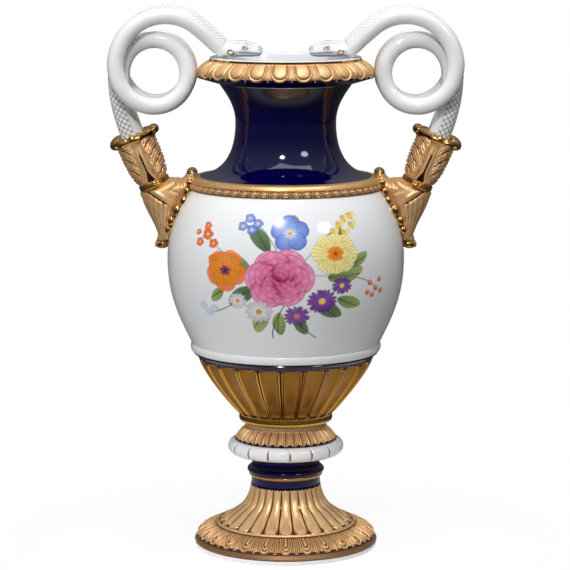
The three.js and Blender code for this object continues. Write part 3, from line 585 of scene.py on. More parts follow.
fillet = 0.7 * ridge(side, 0.87, 0.05) + 0.5 * ridge(reach, 1.06, 0.07)
groove = ridge(side, 1.0, 0.05)
lift = zone * (fillet - 0.4 * groove - 0.6 - 2.6 * hollow * step(way, -1.2, 0.6))
fluted_cup = turned("fluted_cup_fine", cup_rows, turns, bright_gilding, lift)
cove = (way > 1.0 - 0.05 * step(side, 0.7, 1.0)) & (way < 1.13)
foot_bead = (way < -0.03) * (way > -0.155)
# Painted light on the fillets and the foot bead, painted shade in the grooves.
carry(fluted_cup, proud=np.clip(0.42 + 0.9 * fillet - 0.5 * groove + foot_bead, 0, 1),
      gap=cove * (reach > 0.98))
fit(fluted_cup, "bright_gilding", "fluted_cup")

# Belly
# An egg-shaped white body on a round roll, painted over the glaze with a loose bouquet in the
# colours of enamel: every petal and leaf below is laid down as one brush stroke.
belly_bottom = bottom_of("belly")
belly_rise = curve((83.6, 7.4), (96.4, 33.2), (104.8, 51.5), (104.8, 83), 130)
belly_fall = curve((104.8, 83), (104.8, 109), (95.4, 130.2), (84.4, 144.7), 125)
belly_rows = outline(
    belly_bottom,
    line((81.5, 0), (82.6, 0.1), gap=0.5),
    curve((82.6, 0.1), (85.2, 0.8), (85.2, 6.6), (83.6, 7.4), 18),
    belly_rise,
    belly_fall,
    line((84.4, 144.7), (75.4, 144.7), gap=4),
    curve((75.4, 144.7), (90, 128), (99.8, 112), (99.8, 83), 14),
    curve((99.8, 83), (99.8, 55), (90, 34), (77.4, 0), 14),
)
front = np.radians(np.arange(-60, 60, 0.3))
back = np.radians(np.arange(60, 300, 2.0))
turns = np.concatenate([front, back])


class Brush:
    """Lays strokes of enamel on a sheet of points, given in millimetres round and up."""

    def __init__(self, spots):
        self.spots = spots
        self.colour = np.zeros((len(spots), 3))
        self.cover = np.zeros(len(spots))
        self.chance = np.random.default_rng(7)

    def lay(self, chosen, colour, cover):
        """Lays a colour over the chosen points as thickly as cover says, from 0 to 1."""
        cover = np.clip(cover, 0, 1)
        under = self.cover[chosen] * (1 - cover)
        total = np.maximum(cover + under, 1e-6)
        blend = (colour * cover[:, None] + self.colour[chosen] * under[:, None]) / total[:, None]
        self.colour[chosen] = blend
        self.cover[chosen] = cover + under

    def about(self, spot, radius, angle=0.0):
        """The points within a radius of a spot, and how far each lies along and aside of an
        angle, in degrees from straight right, anticlockwise."""
        away = self.spots - spot
        chosen = np.flatnonzero(np.hypot(away[:, 0], away[:, 1]) < radius)
        right, up = away[chosen].T
        turn = math.radians(angle)
        along = right * math.cos(turn) + up * math.sin(turn)
        return chosen, along, up * math.cos(turn) - right * math.sin(turn)

    def petal(self, root, angle, length, width, inner, outer,
              curl=0.0, blunt=0.6, thick=0.92, veins=5):
        """A petal or leaf from its root."""
        chosen, along, aside = self.about(root, length * 1.2, angle)
        along = along / length
        aside = aside / width - curl * along ** 2
        shape = np.clip(np.sin(math.pi * np.clip(along, 0, 1) ** (1.6 - blunt)), 0, 1) ** blunt
        near = np.abs(aside) / np.maximum(shape, 0.03)
        soft = 0.5 / min(width, length)
        cover = step(near, 1 + soft, 1 - soft) * step(along, 0, 0.04) * step(along, 1.0, 0.97)
        mixed = np.clip(along * 0.9 + 0.25 * near ** 2, 0, 1)[:, None]
        tone = np.array(inner[:3]) * (1 - mixed) + np.array(outer[:3]) * mixed
        streak = 1 + 0.16 * np.cos(aside * veins * 4 + along * 3) - 0.3 * ridge(near, 0.98, 0.1)
        self.lay(chosen, np.clip(tone * streak[:, None], 0, 1), cover * thick)

    def stem(self, *spots, tone, width=0.7):
        """A thin line along the curve that these four points draw."""
        path = curve(*spots, 180)
        for start, end in zip(path, path[1:]):
            chosen, along, aside = self.about((start + end) / 2, 4)
            cover = step(np.hypot(along, aside), width, width * 0.4) * 0.5
            self.lay(chosen, np.array(tone[:3]), cover)

    def dot(self, spot, radius, tone, thick=0.95):
        """A round dab, soft at its edge."""
        chosen, along, aside = self.about(spot, radius * 1.5 + 1)
        cover = step(np.hypot(along, aside), radius + 0.35, radius - 0.35) * thick
        self.lay(chosen, np.array(tone[:3]), cover)

    def daisy(self, spot, radius, count, inner, outer, eye, squash=0.8, width=0.24):
        """A small open flower of narrow petals round an eye."""
        for index in range(count):
            angle = 360 * index / count + self.chance.uniform(-6, 6)
            reach = radius * (squash + (1 - squash) * abs(math.cos(math.radians(angle))))
            self.petal(spot, angle, reach, radius * width, inner, outer, blunt=0.5, veins=3)
        self.dot(spot, radius * 0.22, eye)

    def shell(self, spot, angle, radius, light, dark):
        """One rounded petal of a full flower, dark at its root and light at its rim."""
        chosen, along, aside = self.about(spot, radius * 1.2, angle)
        along, aside = along / radius, aside / radius
        gone = np.hypot(along, aside * 0.88)
        mixed = np.clip(0.32 + 0.6 * along + 0.12 * np.cos(aside * 9), 0, 1)[:, None]
        tone = np.array(dark[:3]) * (1 - mixed) + np.array(light[:3]) * mixed
        line_tone = 1 - 0.35 * ridge(gone, 0.98, 0.07)[:, None]
        self.lay(chosen, tone * line_tone, step(gone, 1 + 0.5 / radius, 1 - 0.5 / radius) * 0.97)

    def rose(self, spot, radius, light, middle, deep):
        """A full round flower: rings of rounded petals, the inner ones laid over the outer ones."""
        light, middle, deep = (np.array(tone[:3]) for tone in (light, middle, deep))
        rings = ((0.60, 0.45, 6), (0.50, 0.41, 6), (0.37, 0.36, 5),
                 (0.26, 0.30, 4), (0.14, 0.23, 3), (0.05, 0.14, 2))
        for ring, (out, size, count) in enumerate(rings):
            for index in range(count):
                angle = 360 * index / count + 47 * ring + self.chance.uniform(-9, 9)
                turn = math.radians(angle)
                toward = np.array([math.cos(turn), math.sin(turn) * 0.86])
                place = np.array(spot) + radius * out * toward
                rim = light * (1 - 0.1 * ring) + middle * 0.1 * ring
                root = middle * (0.72 - 0.13 * ring) + deep * (0.28 + 0.13 * ring)
                self.shell(place, angle, radius * size * self.chance.uniform(0.92, 1.1), rim, root)

    def bloom(self, spot, radius, inner, outer, deep, layers=4, squash=0.85):
        """A full round flower: rings of broad petals, the inner ones laid over the outer ones."""
        inner, deep = np.array(inner[:3]), np.array(deep[:3])
        for layer in range(layers):
            size, count, odd = radius * (1 - 0.23 * layer), 8 - layer, layer % 2
            root_tone = inner * (1 - 0.35 * odd) + deep * 0.35 * odd
            for index in range(count):
                angle = 360 * (index + 0.5 * odd) / count + self.chance.uniform(-8, 8)
                turn = math.radians(angle)
                toward = np.array([math.cos(turn), math.sin(turn) * squash])
                length = size * (squash + (1 - squash) * abs(math.cos(turn))) * 0.86
                self.petal(np.array(spot) + size * 0.18 * toward, angle, length, size * 0.42,
                           root_tone, outer, blunt=0.4, thick=0.96, veins=4)
            self.dot(spot, size * 0.3, (inner + deep) / 2, 0.5)


way = way_up(belly_rows, np.vstack([belly_rise, belly_fall]), belly_bottom)[:, 0]
face_rows = np.flatnonzero((way > 0) & (way < 1))
widest, face_height = 104.8, 158
sheet = np.stack(np.meshgrid(turns * widest, way[face_rows] * face_height), axis=-1)
brush = Brush(sheet.reshape(-1, 2))
green, dark_green, light_green = paint(84, 122, 48), paint(30, 70, 40), paint(164, 182, 84)
pink, rose, wine = paint(252, 166, 204), paint(224, 44, 128), paint(140, 6, 74)
yellow, amber, cream = paint(248, 216, 92), paint(214, 148, 42), paint(252, 238, 170)
sky, blue, navy = paint(164, 192, 246), paint(48, 84, 206), paint(30, 44, 132)
orange, rust = paint(250, 130, 44), paint(206, 54, 16)
violet, purple = paint(166, 100, 196), paint(88, 26, 124)
white, shadow = paint(252, 250, 246), paint(196, 188, 200)
for root, angle, length, width, tone in (
    ((-30, 88), 152, 34, 8.5, green), ((-26, 72), 204, 30, 7.5, dark_green),
    ((-16, 56), 240, 30, 7.5, green), ((26, 60), 322, 30, 7.0, dark_green),
    ((36, 82), 4, 36, 8.0, green), ((30, 104), 40, 32, 7.5, dark_green),
    ((6, 112), 78, 30, 7.0, green), ((-14, 106), 122, 32, 7.0, dark_green),
    ((-6, 50), 266, 24, 6.0, light_green), ((46, 62), 336, 26, 6.0, green),
    ((-50, 96), 166, 22, 5.5, light_green), ((58, 92), 24, 22, 5.0, green),
    ((-56, 70), 214, 18, 5.0, green), ((10, 44), 292, 20, 5.5, dark_green),
):
    rim = light_green if tone is green else green
    brush.petal(root, angle, length, width, tone, rim, curl=0.5, veins=4)
    turn = math.radians(angle)
    tip = np.array([math.cos(turn), math.sin(turn)]) * length * 0.9
    vein = [np.array(root) + tip * share for share in (0, 0.4, 0.7, 1)]
    brush.stem(*vein, tone=dark_green, width=0.5)
for tone, *spots in (
    (green, (-8, 84), (-40, 96), (-62, 104), (-76, 120)),
    (green, (12, 92), (30, 118), (46, 128), (58, 134)),
    (green, (10, 84), (56, 86), (76, 80), (88, 68)),
    (green, (0, 92), (-12, 118), (-20, 130), (-34, 138)),
    (dark_green, (0, 60), (8, 40), (18, 30), (30, 22)),
    (dark_green, (0, 60), (-8, 42), (-14, 34), (-12, 22)),
    (green, (-40, 60), (-56, 52), (-66, 46), (-74, 46)),
):
    brush.stem(*spots, tone=tone)
for spot, size in (
    ((-76, 120), 6.6), ((-68, 112), 5.4), ((-84, 112), 5.0), ((-78, 128), 4.6), ((-88, 121), 3.6),
):
    brush.daisy(spot, size, 5, orange, rust, yellow, width=0.42)
for spot in ((58, 134), (52, 128), (65, 127), (45, 122), (66, 136), (56, 120)):
    brush.petal(spot, 60, 8, 3.0, cream, yellow)
    brush.petal(spot, 120, 7, 2.6, yellow, amber)
    brush.dot(spot, 1.1, light_green)
for spot in ((88, 68), (80, 74), (92, 76), (84, 62), (95, 65), (78, 65)):
    brush.dot(spot, 2.6, rust)
    brush.dot(np.array(spot) + (0.2, 0.3), 1.9, orange)
    brush.dot(np.array(spot) + (0.7, 0.9), 0.8, cream)
for spot in ((-34, 138), (-26, 133), (-40, 130), (-31, 127)):
    brush.daisy(spot, 5.4, 5, sky, blue, yellow, width=0.44)
for spot in ((-74, 46), (-68, 50), (-80, 52)):
    brush.daisy(spot, 4.6, 6, white, sky, yellow, width=0.34)
brush.bloom((44, 104), 21, yellow, cream, amber, layers=3)
brush.daisy((44, 104), 8.5, 13, amber, orange, rust, width=0.2)
for angle in (20, 95, 165, 238, 310):
    brush.petal((4, 124), angle, 18, 8.5, sky, blue, blunt=0.45, veins=6)
brush.daisy((4, 124), 7, 10, cream, sky, amber, width=0.14)
for angle in (60, 135, 205, 270, 345):
    brush.petal((-54, 88), angle, 20, 10, rust, orange, blunt=0.4, veins=7)
for angle in (28, 98, 172, 240, 312):
    brush.petal((-54, 88), angle, 15, 8, orange, amber, blunt=0.4, veins=6)
brush.daisy((-54, 88), 6, 14, navy, wine, paint(50, 60, 40), width=0.12)
brush.rose((-6, 82), 29, pink, rose, wine)
brush.daisy((32, 60), 14, 19, violet, purple, yellow, width=0.15)
brush.daisy((10, 46), 12, 17, violet, purple, amber, width=0.15)
brush.daisy((50, 74), 10, 15, violet, purple, yellow, width=0.17)
brush.daisy((-24, 50), 13, 14, white, shadow, amber, width=0.2)
brush.daisy((-43, 60), 9, 11, white, shadow, amber, width=0.24)

painted = Finish(bpy.data.materials.new("painted_glaze"))
gilt = painted.read("gilt").ramp(0.35, 0.65)
cover = painted.read("enamel", "Alpha")
tone = painted.mix(painted.speckle(40 * mm), paint(240, 241, 243), paint(236, 238, 241))
tone = painted.mix(cover, tone, painted.read("enamel", "Color"))
tone = painted.mix(gilt, tone, paint(196, 146, 84))
waves = painted.bumps(painted.speckle(9 * mm), 0.04 * mm, 0.25)
painted.principled(Base_Color=tone, Metallic=gilt, Roughness=0.08 + cover * 0.12, Normal=waves)
belly = turned("belly_fine", belly_rows, turns, painted.owner)
enamel = np.zeros((len(belly_rows), len(turns), 4))
enamel[face_rows, :, :3] = brush.colour.reshape(len(face_rows), len(turns), 3)
enamel[face_rows, :, 3] = brush.cover.reshape(len(face_rows), len(turns))
layer = belly.data.attributes.new("enamel", "FLOAT_COLOR", "POINT")
layer.data.foreach_set("color", enamel.ravel().astype(np.float32))
carry(belly, gilt=step(belly_rows[:, 1:] / mm - belly_bottom, 0.9, 0.6) * np.ones((1, len(turns))))
fit(belly, "white_glaze", "belly")

# Shoulder collar
# A row of fifty-eight beads with raised middles and short bars between, cast in porcelain and
# gilded matte, under a plain polished slope that carries the neck.
shoulder_bottom = bottom_of("shoulder_collar")
bead_run = curve((85.2, 0), (86.4, 1.8), (86.4, 4.4), (85.2, 6.3), 22)
shoulder_rows = outline(
    shoulder_bottom,
    bead_run,
    line((85.2, 6.3), (84.2, 6.6), (84.4, 7.0), gap=0.3),
    curve((84.4, 7.0), (83.2, 9.6), (81.2, 10.4), (79.2, 10.7), 12),
    line((79.2, 10.7), (64, 10.7), (64, 6.4), (75.4, 0), gap=5),
)
beads_round = 58
turns = even(beads_round * 14)
way = way_up(shoulder_rows, bead_run, shoulder_bottom)
side = np.abs(across(turns, beads_round))
zone = step(way, -0.01, 0.05) * step(way, 1.01, 0.95)
reach = np.hypot(side / 0.8, (way - 0.5) / 0.47)
beads = 0.8 * ridge(reach, 0.82, 0.13) + swelling(reach, 0.55)
bars = 0.8 * ridge(side, 1.0, 0.08) * (reach > 1)
lift = zone * (beads + bars - 1.1)
shoulder_collar = turned("shoulder_collar_fine", shoulder_rows, turns, matte_gilding, lift)
slope = (way > 1.02) * np.ones_like(side)
# Painted light on the beads, bars and slope, painted shade in the hollows between the beads.
proud = np.clip(0.1 + 0.6 * (beads + bars) * zone + 0.6 * slope, 0, 1)
carry(shoulder_collar, proud=proud, burnish=0.45 * slope)
fit(shoulder_collar, "matte_gilding", "shoulder_collar")

# Neck
# A deep cove of porcelain between shoulder and lip, turned hollow and open at both ends, under a
# cobalt glaze with nothing on it but its gloss.
neck_bottom = bottom_of("neck")
neck_rows = outline(
    neck_bottom,
    curve((76, 0), (55, 3.2), (44.4, 19.7), (44.4, 47), 44),
    curve((44.4, 47), (44.4, 61.2), (51.4, 71), (58.4, 80.7), 30),
    line((58.4, 80.7), (53.4, 80.7), gap=3),
    curve((53.4, 80.7), (46, 70), (39.4, 61.2), (39.4, 47), 10),
    curve((39.4, 47), (39.4, 22), (52, 6), (64, 0), 12),
)
fit(turned("neck_fine", neck_rows, even(200), cobalt_glaze), "cobalt_glaze", "neck")

# Lip
# A cobalt flare under twenty-four wide eggs with thick rims and pleated darts between, gilded
# matte, then a narrow burnished band and the plain white rim of the mouth.
lip_bottom = bottom_of("rim_collar")
egg_run = curve((78.6, 6.0), (80.6, 12.6), (73.4, 18.4), (67.4, 20.6), 46)
lip_rows = outline(
    lip_bottom,
    line((58.4, 0), (77.2, 5.4), (78.6, 6.0), gap=1.6),
    egg_run,
    line((67.4, 20.6), (66.4, 20.8), (66.8, 22.8), gap=0.5),
    curve((66.8, 22.8), (66.6, 23.4), (66, 23.5), (65, 23.5), 4),
    line((65, 23.5), (60.5, 23.5), gap=2),
    curve((60.5, 23.5), (59.5, 23.4), (59.2, 21), (58, 16.4), 6),
    line((58, 16.4), (53.4, 0), gap=6),
)
eggs = 24
turns = even(eggs * 34)
way = way_up(lip_rows, egg_run, lip_bottom)
near = np.abs(across(turns, eggs, 0.25))
reach = tongue(near, way, 0.82, 0.5)
dome = 1.3 * swelling(reach, 0.74)
rim = 1.25 * ridge(reach, 0.9, 0.09)
pleats = pleated(near, 0.115) * step(reach, 1.0, 1.08)
zone = step(way, -0.02, 0.02) * step(way, 1.0, 0.94)
lift = zone * (np.maximum(dome, rim) + 0.8 * pleats - 1.3)
blue_edge = (way < 0.1) & (reach > 1.06) & (near < 0.93) | (way < -0.01)
band = (way > 1.0) * (way < 1.14) * np.ones((1, len(turns)))
bare = (way > 1.14) * np.ones((1, len(turns)))
rim_collar = turned("rim_collar_fine", lip_rows, turns, matte_gilding, lift)
# Painted light on the domes, rims, pleats and band, painted shade in the hollows between them.
proud = np.clip(0.05 + 0.5 * (dome / 1.3 + rim) + 0.45 * pleats + band, 0, 1)
carry(rim_collar, proud=proud, burnish=band, gap=blue_edge, bare=bare)
fit(rim_collar, "matte_gilding", "rim_collar")

# Snakes
# Four white porcelain snakes, two to a handle: each rises thick from the calyx, coils once and
# arches over to lay its head on the lip. Backs are painted with a fine brown net of scales.
snake_glaze = Finish(bpy.data.materials.new("snake_glaze"))
cells = [abs((snake_glaze.read(name) % 1.0) - 0.5) for name in ("net_left", "net_right")]
wires = (cells[0].ramp(0.4, 0.45) + cells[1].ramp(0.4, 0.45)).ramp(0.0, 1.0)
wires = wires * snake_glaze.read("net")
ink = (wires + snake_glaze.read("ink")).ramp(0.0, 1.0)
gilt = snake_glaze.read("gilt").ramp(0.35, 0.65)
tone = snake_glaze.mix(snake_glaze.speckle(30 * mm), paint(244, 245, 247), paint(239, 241, 244))
tone = snake_glaze.mix(ink, tone, paint(104, 92, 86))
tone = snake_glaze.mix(gilt, tone, paint(206, 160, 100))
waves = snake_glaze.bumps(snake_glaze.speckle(9 * mm), 0.04 * mm, 0.25)
rough = 0.09 + gilt * 0.2
snake_glaze.principled(Base_Color=tone, Metallic=gilt, Roughness=rough, Normal=waves)

waist = np.array([115.8, 0, 325.6])
lean = math.radians(23.5)
axis = np.array([math.sin(lean), 0, math.cos(lean)])
mouth = waist + axis * 42
ring_centre, ring_radius = np.array([114.0, 0, lip_bottom + 10.3]), 28.7
arch_centre, arch_radius = ring_centre + (-9.8, 0, 6.2), 43.6
rise_depth, coil_depth, nape_depth, half = 8.2, 15.8, 18, 7.35


def on_circle(centre, radius, degrees, depth):
    """A spot on an upright circle across the vase, that far in front of the centre."""
    turn = math.radians(degrees)
    return [centre[0] + radius * math.cos(turn), -depth, centre[2] + radius * math.sin(turn)]


def smooth(spots, gap):
    """A smooth line through the spots, with a point about every gap."""
    spots = np.array(spots, float)
    ends = np.vstack([2 * spots[:1] - spots[1:2], spots, 2 * spots[-1:] - spots[-2:-1]])
    runs = []
    for index in range(1, len(ends) - 2):
        before, start, end, after = ends[index - 1:index + 3]
        steps = max(int(np.linalg.norm((end - start)[:3]) / gap), 2)
        t = np.linspace(0, 1, steps, endpoint=False)[:, None]
        square = (2 * before - 5 * start + 4 * end - after) * t ** 2
        cube = (3 * start - before - 3 * end + after) * t ** 3
        runs.append(0.5 * (2 * start + (end - before) * t + square + cube))
    return np.vstack(runs + [spots[-1:]])


def sweep(stations, sides, gap):
    """Oval sections along a line of stations: where each lies, how it faces and how wide it is."""
    path = smooth(stations, gap)
    centre = path[:, :3]
    ahead = np.gradient(centre, axis=0)
    ahead /= np.linalg.norm(ahead, axis=1, keepdims=True)
    out = np.cross((0.0, 1.0, 0.0), ahead)
    out /= np.linalg.norm(out, axis=1, keepdims=True)
    deep = np.cross(ahead, out)
    around = 2 * math.pi * (np.arange(sides) + 0.5) / sides - math.pi
    along = np.concatenate([[0], np.cumsum(np.linalg.norm(np.diff(centre, axis=0), axis=1))])
    return centre, out, deep, path[:, 3:], along, around


def skin(centre, out, deep, halves, around, swell):
    """The points of the sections, raised by swell, with both ends drawn together."""
    wide = (halves[:, :1] + swell) * np.cos(around)
    thick = (halves[:, 1:2] + swell) * np.sin(around)
    points = centre[:, None] + out[:, None] * wide[:, :, None] + deep[:, None] * thick[:, :, None]
    first, last = (np.repeat(centre[k][None, None], len(around), axis=1) for k in (0, -1))
    return np.concatenate([first, points, last])


def ends_too(field):
    """A number for each point of the sections, carried on to the ends."""
    return np.pad(field, ((1, 1), (0, 0)), mode="edge")


opening = mouth - (0, 8.3, 0)
ring_side = np.array(on_circle(ring_centre, ring_radius + 3.4, 0, rise_depth))
stations = [[*(opening - axis * 12), 9.8, 8.0]]
rise = curve(opening, opening + axis * 20, ring_side + (1.1, 0, -20), ring_side, 6)[:-1]
for index, spot in enumerate(rise):
    stations.append([*spot, 9.8 - 0.11 * index, 8 - 0.1 * index])
for degrees in range(0, 352, 13):
    winding = max(1 - degrees / 90, 0) ** 2
    leaving = max((degrees - 250) / 121, 0) ** 2.5
    radius = ring_radius + 3.4 * winding + 5.7 * leaving
    depth = rise_depth + coil_depth * min(degrees / 334, 1)
    stations.append([*on_circle(ring_centre, radius, degrees, depth), half + 1.8 * winding, half])
for degrees in range(0, 121, 12):
    depth = rise_depth + coil_depth - degrees / 60
    stations.append([*on_circle(arch_centre, arch_radius, degrees, depth), half, half])
bend = np.array(stations[-1][:3])
nape = np.array([55.5, -nape_depth, 445.2])
head_length = 35
for spot in curve(bend, bend + (-8.5, 0, -5.3), nape + (5.9, 0, 5.1), nape, 4)[1:]:
    stations.append([*spot, half, half])
for share, drop, high, wide in (
    (0.12, -0.2, 6.4, 7.5), (0.3, -0.6, 6.0, 8.6), (0.55, -0.8, 5.8, 7.9),
    (0.8, -2.0, 4.6, 5.7), (0.94, -2.7, 3.3, 4.3), (1.0, -3.1, 1.4, 2.3),
):
    stations.append([nape[0] - head_length * share, nape[1], nape[2] + drop, high, wide])

sides = 40
centre, out, deep, halves, along, around = sweep(stations, sides, 1.2)
length = along[-1]
nose = (along - length + head_length)[:, None] / head_length
angle = np.abs(around)[None, :]
brow = 1.7 * np.exp(-((nose - 0.52) / 0.13) ** 2 - ((angle - 0.75) / 0.42) ** 2)
cheek = 1.0 * np.exp(-((nose - 0.25) / 0.14) ** 2 - ((angle - 1.9) / 0.5) ** 2)
nostril = 0.7 * np.exp(-((nose - 0.9) / 0.05) ** 2 - ((angle - 0.8) / 0.35) ** 2)
jaws = -0.8 * ridge(angle, 1.95, 0.09) * step(nose, 0.25, 0.4)
swell = brow + cheek + nostril + jaws - 0.6 * ridge(nose, 0.02, 0.12)
body = skin(centre, out, deep, halves, around, swell)
pitch = np.interp(along, [0, 60, 130, length], [5.4, 5.0, 3.8, 3.4])
rows_past = np.diff(along) * 2 / (pitch[1:] + pitch[:-1])
scales = np.cumsum(np.concatenate([[0], rows_past]))[:, None]
strength = np.interp(along, [0, 80, 120, length], [0.95, 0.85, 0.4, 0.5])[:, None]
places = [0, 85, 120, length - 110, length - 70, length]
reach = np.interp(along, places, [1.95, 1.85, 0.9, 0.9, 1.15, 1.25])[:, None]
eye = np.hypot((nose - 0.56) * head_length, (angle - 1.25) * 7.5)
nostril = np.hypot((nose - 0.92) * head_length, (angle - 0.9) * 5)
jaw_line = step(nose, 0.4, 0.45) * ridge(angle, 1.95, 0.1)
marks = ridge(eye, 2.2, 0.5) + step(eye, 1.1, 0.7) + jaw_line + ridge(nostril, 0, 0.8)
curl = ridge(np.hypot((nose - 0.22) * head_length, (angle - 1.9) * 7), 2.4, 0.8)
fields = {
    "net_left": scales + around * 1.75, "net_right": scales - around * 1.75,
    "net": step(angle - reach, 0.12, -0.12) * strength,
    "ink": np.clip(marks, 0, 1) * 0.8, "gilt": curl,
}
fields = {key: ends_too(field) for key, field in fields.items()}
for name, sign_x, sign_y in (
    ("right_front_snake", 1, 1), ("right_back_snake", 1, -1),
    ("left_front_snake", -1, 1), ("left_back_snake", -1, -1),
):
    shape, faces = grid(body * mm * (sign_x, sign_y, 1), closed=False)
    faces = faces[:, ::-sign_x * sign_y]
    snake = fine_piece(name + "_fine", shape, faces, snake_glaze.owner, 180)
    carry(snake, **fields)
    fit(snake, "white_glaze", name)

# Calyxes
# Each handle grows from a gilt cup of two clasping acanthus leaves, slit at front and back and
# curled over at the lip into glossy scrolls, with bobbles between.
calyx_turns = even(216)
oval = 1.4


def from_waist(points):
    """Points of the right calyx, from its own leaning frame to the vase's, in metres."""
    across_axis, up_axis = (math.cos(lean), 0, -math.sin(lean)), (math.sin(lean), 0, math.cos(lean))
    upright = points @ np.array([across_axis, (0, 1, 0), up_axis])
    return (upright + waist) * mm


def lump(spot, halves, tilt=0.0, rows=12, columns=20):
    """A rounded lump of leaf; tilt, in degrees, leans it in the plane of the handles."""
    level = np.linspace(0, math.pi, rows)[:, None]
    turn = even(columns)[None, :]
    ball = [np.sin(level) * np.cos(turn), np.sin(level) * np.sin(turn), -np.cos(level) + 0 * turn]
    ball = np.stack(ball, axis=-1) * halves
    bent = math.radians(tilt)
    x = ball[..., 0] * math.cos(bent) + ball[..., 2] * math.sin(bent)
    z = ball[..., 2] * math.cos(bent) - ball[..., 0] * math.sin(bent)
    return grid(np.stack([x, ball[..., 1], z], axis=-1) + spot, closed=False)


def gather(parts):
    """Joins (points, faces) parts into one."""
    points, faces, count = [], [], 0
    for spots, quads in parts:
        points.append(spots)
        faces.append(quads + count)
        count += len(spots)
    return np.vstack(points), np.vstack(faces)


def pair(kind, slot, points, faces, material, crease, **fields):
    """The piece of the right handle and its mirror image on the left one."""
    for side, sign in (("right", 1), ("left", -1)):
        name = f"{side}_{kind}"
        placed, wound = points * (sign, 1, 1), faces[:, ::sign]
        piece = fine_piece(name + "_fine", placed, wound, material, crease)
        carry(piece, **fields)
        fit(piece, slot, name)


calyx_rows = np.vstack([
    line((0.1, 0), (12.4, 0), gap=4),
    curve((12.4, 0), (16.0, 8), (17.2, 20), (16.8, 35), 90),
    curve((16.8, 35), (16.9, 37), (17.6, 40), (16.4, 41.6), 14),
    line((16.4, 41.6), (15, 42), (12.4, 39), (0.1, 39), gap=4),
])
height = calyx_rows[:, 1:]
wall = calyx_rows[:, :1] > 12
outside = (np.arange(len(calyx_rows)) < len(calyx_rows) - 6)[:, None]
x = calyx_rows[:, :1] * np.cos(calyx_turns)
from_slit = np.abs(x)
outer = x > 0
opened = 0.3 + 2.5 * np.clip((11 - height) / 8, 0, 1)
slit = step(from_slit - opened, 0.7, -0.1) * step(height, 29, 25) * step(height, 1, 3)
margin = ridge(from_slit, opened + 1.4, 0.7) * step(height, 34, 26)
smooth_part = np.where(outer, 5.4 - 0.05 * height, 3.6)
leafy = step(from_slit - smooth_part, -0.6, 1.6) * step(height, 1, 5) * step(height, 40.5, 37)
swept = height - 6.4 * np.sqrt(np.clip(from_slit - smooth_part + 1.2, 0, None))
swept = swept + 0.5 * np.sin(from_slit * 1.1 + height * 0.35)
strand = np.abs(np.sin(swept * math.pi / 3.1)) ** 0.7
lobe = (swept / 9.3 + 0.02 * from_slit) % 1.0
notch = ridge(np.minimum(lobe, 1 - lobe), 0, 0.08)
swell = (-3.0 * slit + 0.5 * margin + leafy * (1.1 * strand - 1.0 * notch)) * outside
radius = calyx_rows[:, :1] + swell * wall
cup = np.stack([radius * np.cos(calyx_turns), radius * oval * np.sin(calyx_turns),
                height + 2.5 + 0 * radius], axis=-1)
lip_turns, roll = even(120), even(16)[:, None] - math.pi / 2
thick = 2.8 + 0.7 * np.cos(7 * lip_turns) + 1.2 * np.cos(lip_turns) ** 2
reach = 16 + thick * np.cos(roll)
lip_height = 43.6 + np.cos(lip_turns) ** 2 * (1 + 1.2 * np.cos(lip_turns))
lip_ring = np.stack([reach * np.cos(lip_turns), reach * 1.38 * np.sin(lip_turns),
                     lip_height + thick * np.sin(roll)], axis=-1)
lip_lumps = [
    lump((14.4, 0, 45.8), (8.6, 14.5, 5.8), 14), lump((-12.6, 0, 43.6), (7.4, 15.5, 6.0), -10),
    lump((-19.0, 0, 45.0), (4.8, 11, 4.4), -16),
    *(lump((out, side * deep, 44.4), (size, size, size * 1.15)) for side in (-1, 1)
      for out, deep, size in ((7.0, 19.6, 3.4), (0.4, 21.4, 3.9), (-6.2, 19.8, 3.5))),
]
shape, faces = gather([grid(cup, closed=False), grid(lip_ring), *lip_lumps])
shade = np.ravel(0.55 + leafy * (0.85 * strand - 0.6 - 0.5 * notch) + 0.4 * margin - 1.2 * slit)
shade = np.clip(np.concatenate([shade, np.full(len(shape) - radius.size, 0.6)]), 0, 1)
rolled = np.repeat([0.0, 1.0], [radius.size, len(shape) - radius.size])
pair("calyx", "matte_gilding", from_waist(shape), faces, matte_gilding, 60,
     proud=shade, burnish=rolled)

# Waist bands
# A plain ring of two rolls, cast in porcelain and burnished all round, ties each calyx to the
# bracket below it.
band_rows = np.vstack([
    line((0.1, -2.3), (12, -2.3), gap=6),
    curve((12, -2.3), (14.4, -2.3), (14.8, 0.8), (13.6, 1.2), 8),
    curve((13.6, 1.2), (14.6, 1.4), (14.4, 3.4), (12.6, 3.5), 8),
    line((12.6, 3.5), (0.1, 3.5), gap=6),
])
band_turns = even(72)
radius, height = band_rows[:, :1], band_rows[:, 1:] + 0 * band_turns
band = np.stack([radius * np.cos(band_turns), radius * oval * np.sin(band_turns), height], axis=-1)
shape, faces = grid(band, closed=False)
pair("waist_band", "bright_gilding", from_waist(shape), faces, bright_gilding, 40,
     proud=np.full(len(shape), 0.6), burnish=np.ones(len(shape)))

# Brackets
# Two acanthus leaves of gilded porcelain below each waist band, luted to the body: one runs up
# over the shoulder to a round knob, one hugs the belly down to a curl painted dark as shade.
# Glossy bobbles follow the joint with the belly.


def limb(stations, sides, gap, ripple, upright=False):
    """A closed limb through stations, whose sections stay level if it is upright; ripple(along,
    across) raises its skin: along runs from 0 to 1 down the limb, across from 0 to 1 over it."""
    centre, out, deep, halves, along, around = sweep(stations, sides, gap)
    if upright:
        out, deep = np.array([[-1.0, 0, 0]]), np.array([[0, 1.0, 0]])
    level = ripple(along[:, None] / along[-1], (1 - np.cos(around[None, :])) / 2)
    shape, faces = grid(skin(centre, out, deep, halves, around, level), closed=False)
    return shape, faces[:, ::-1], ends_too(level).ravel()


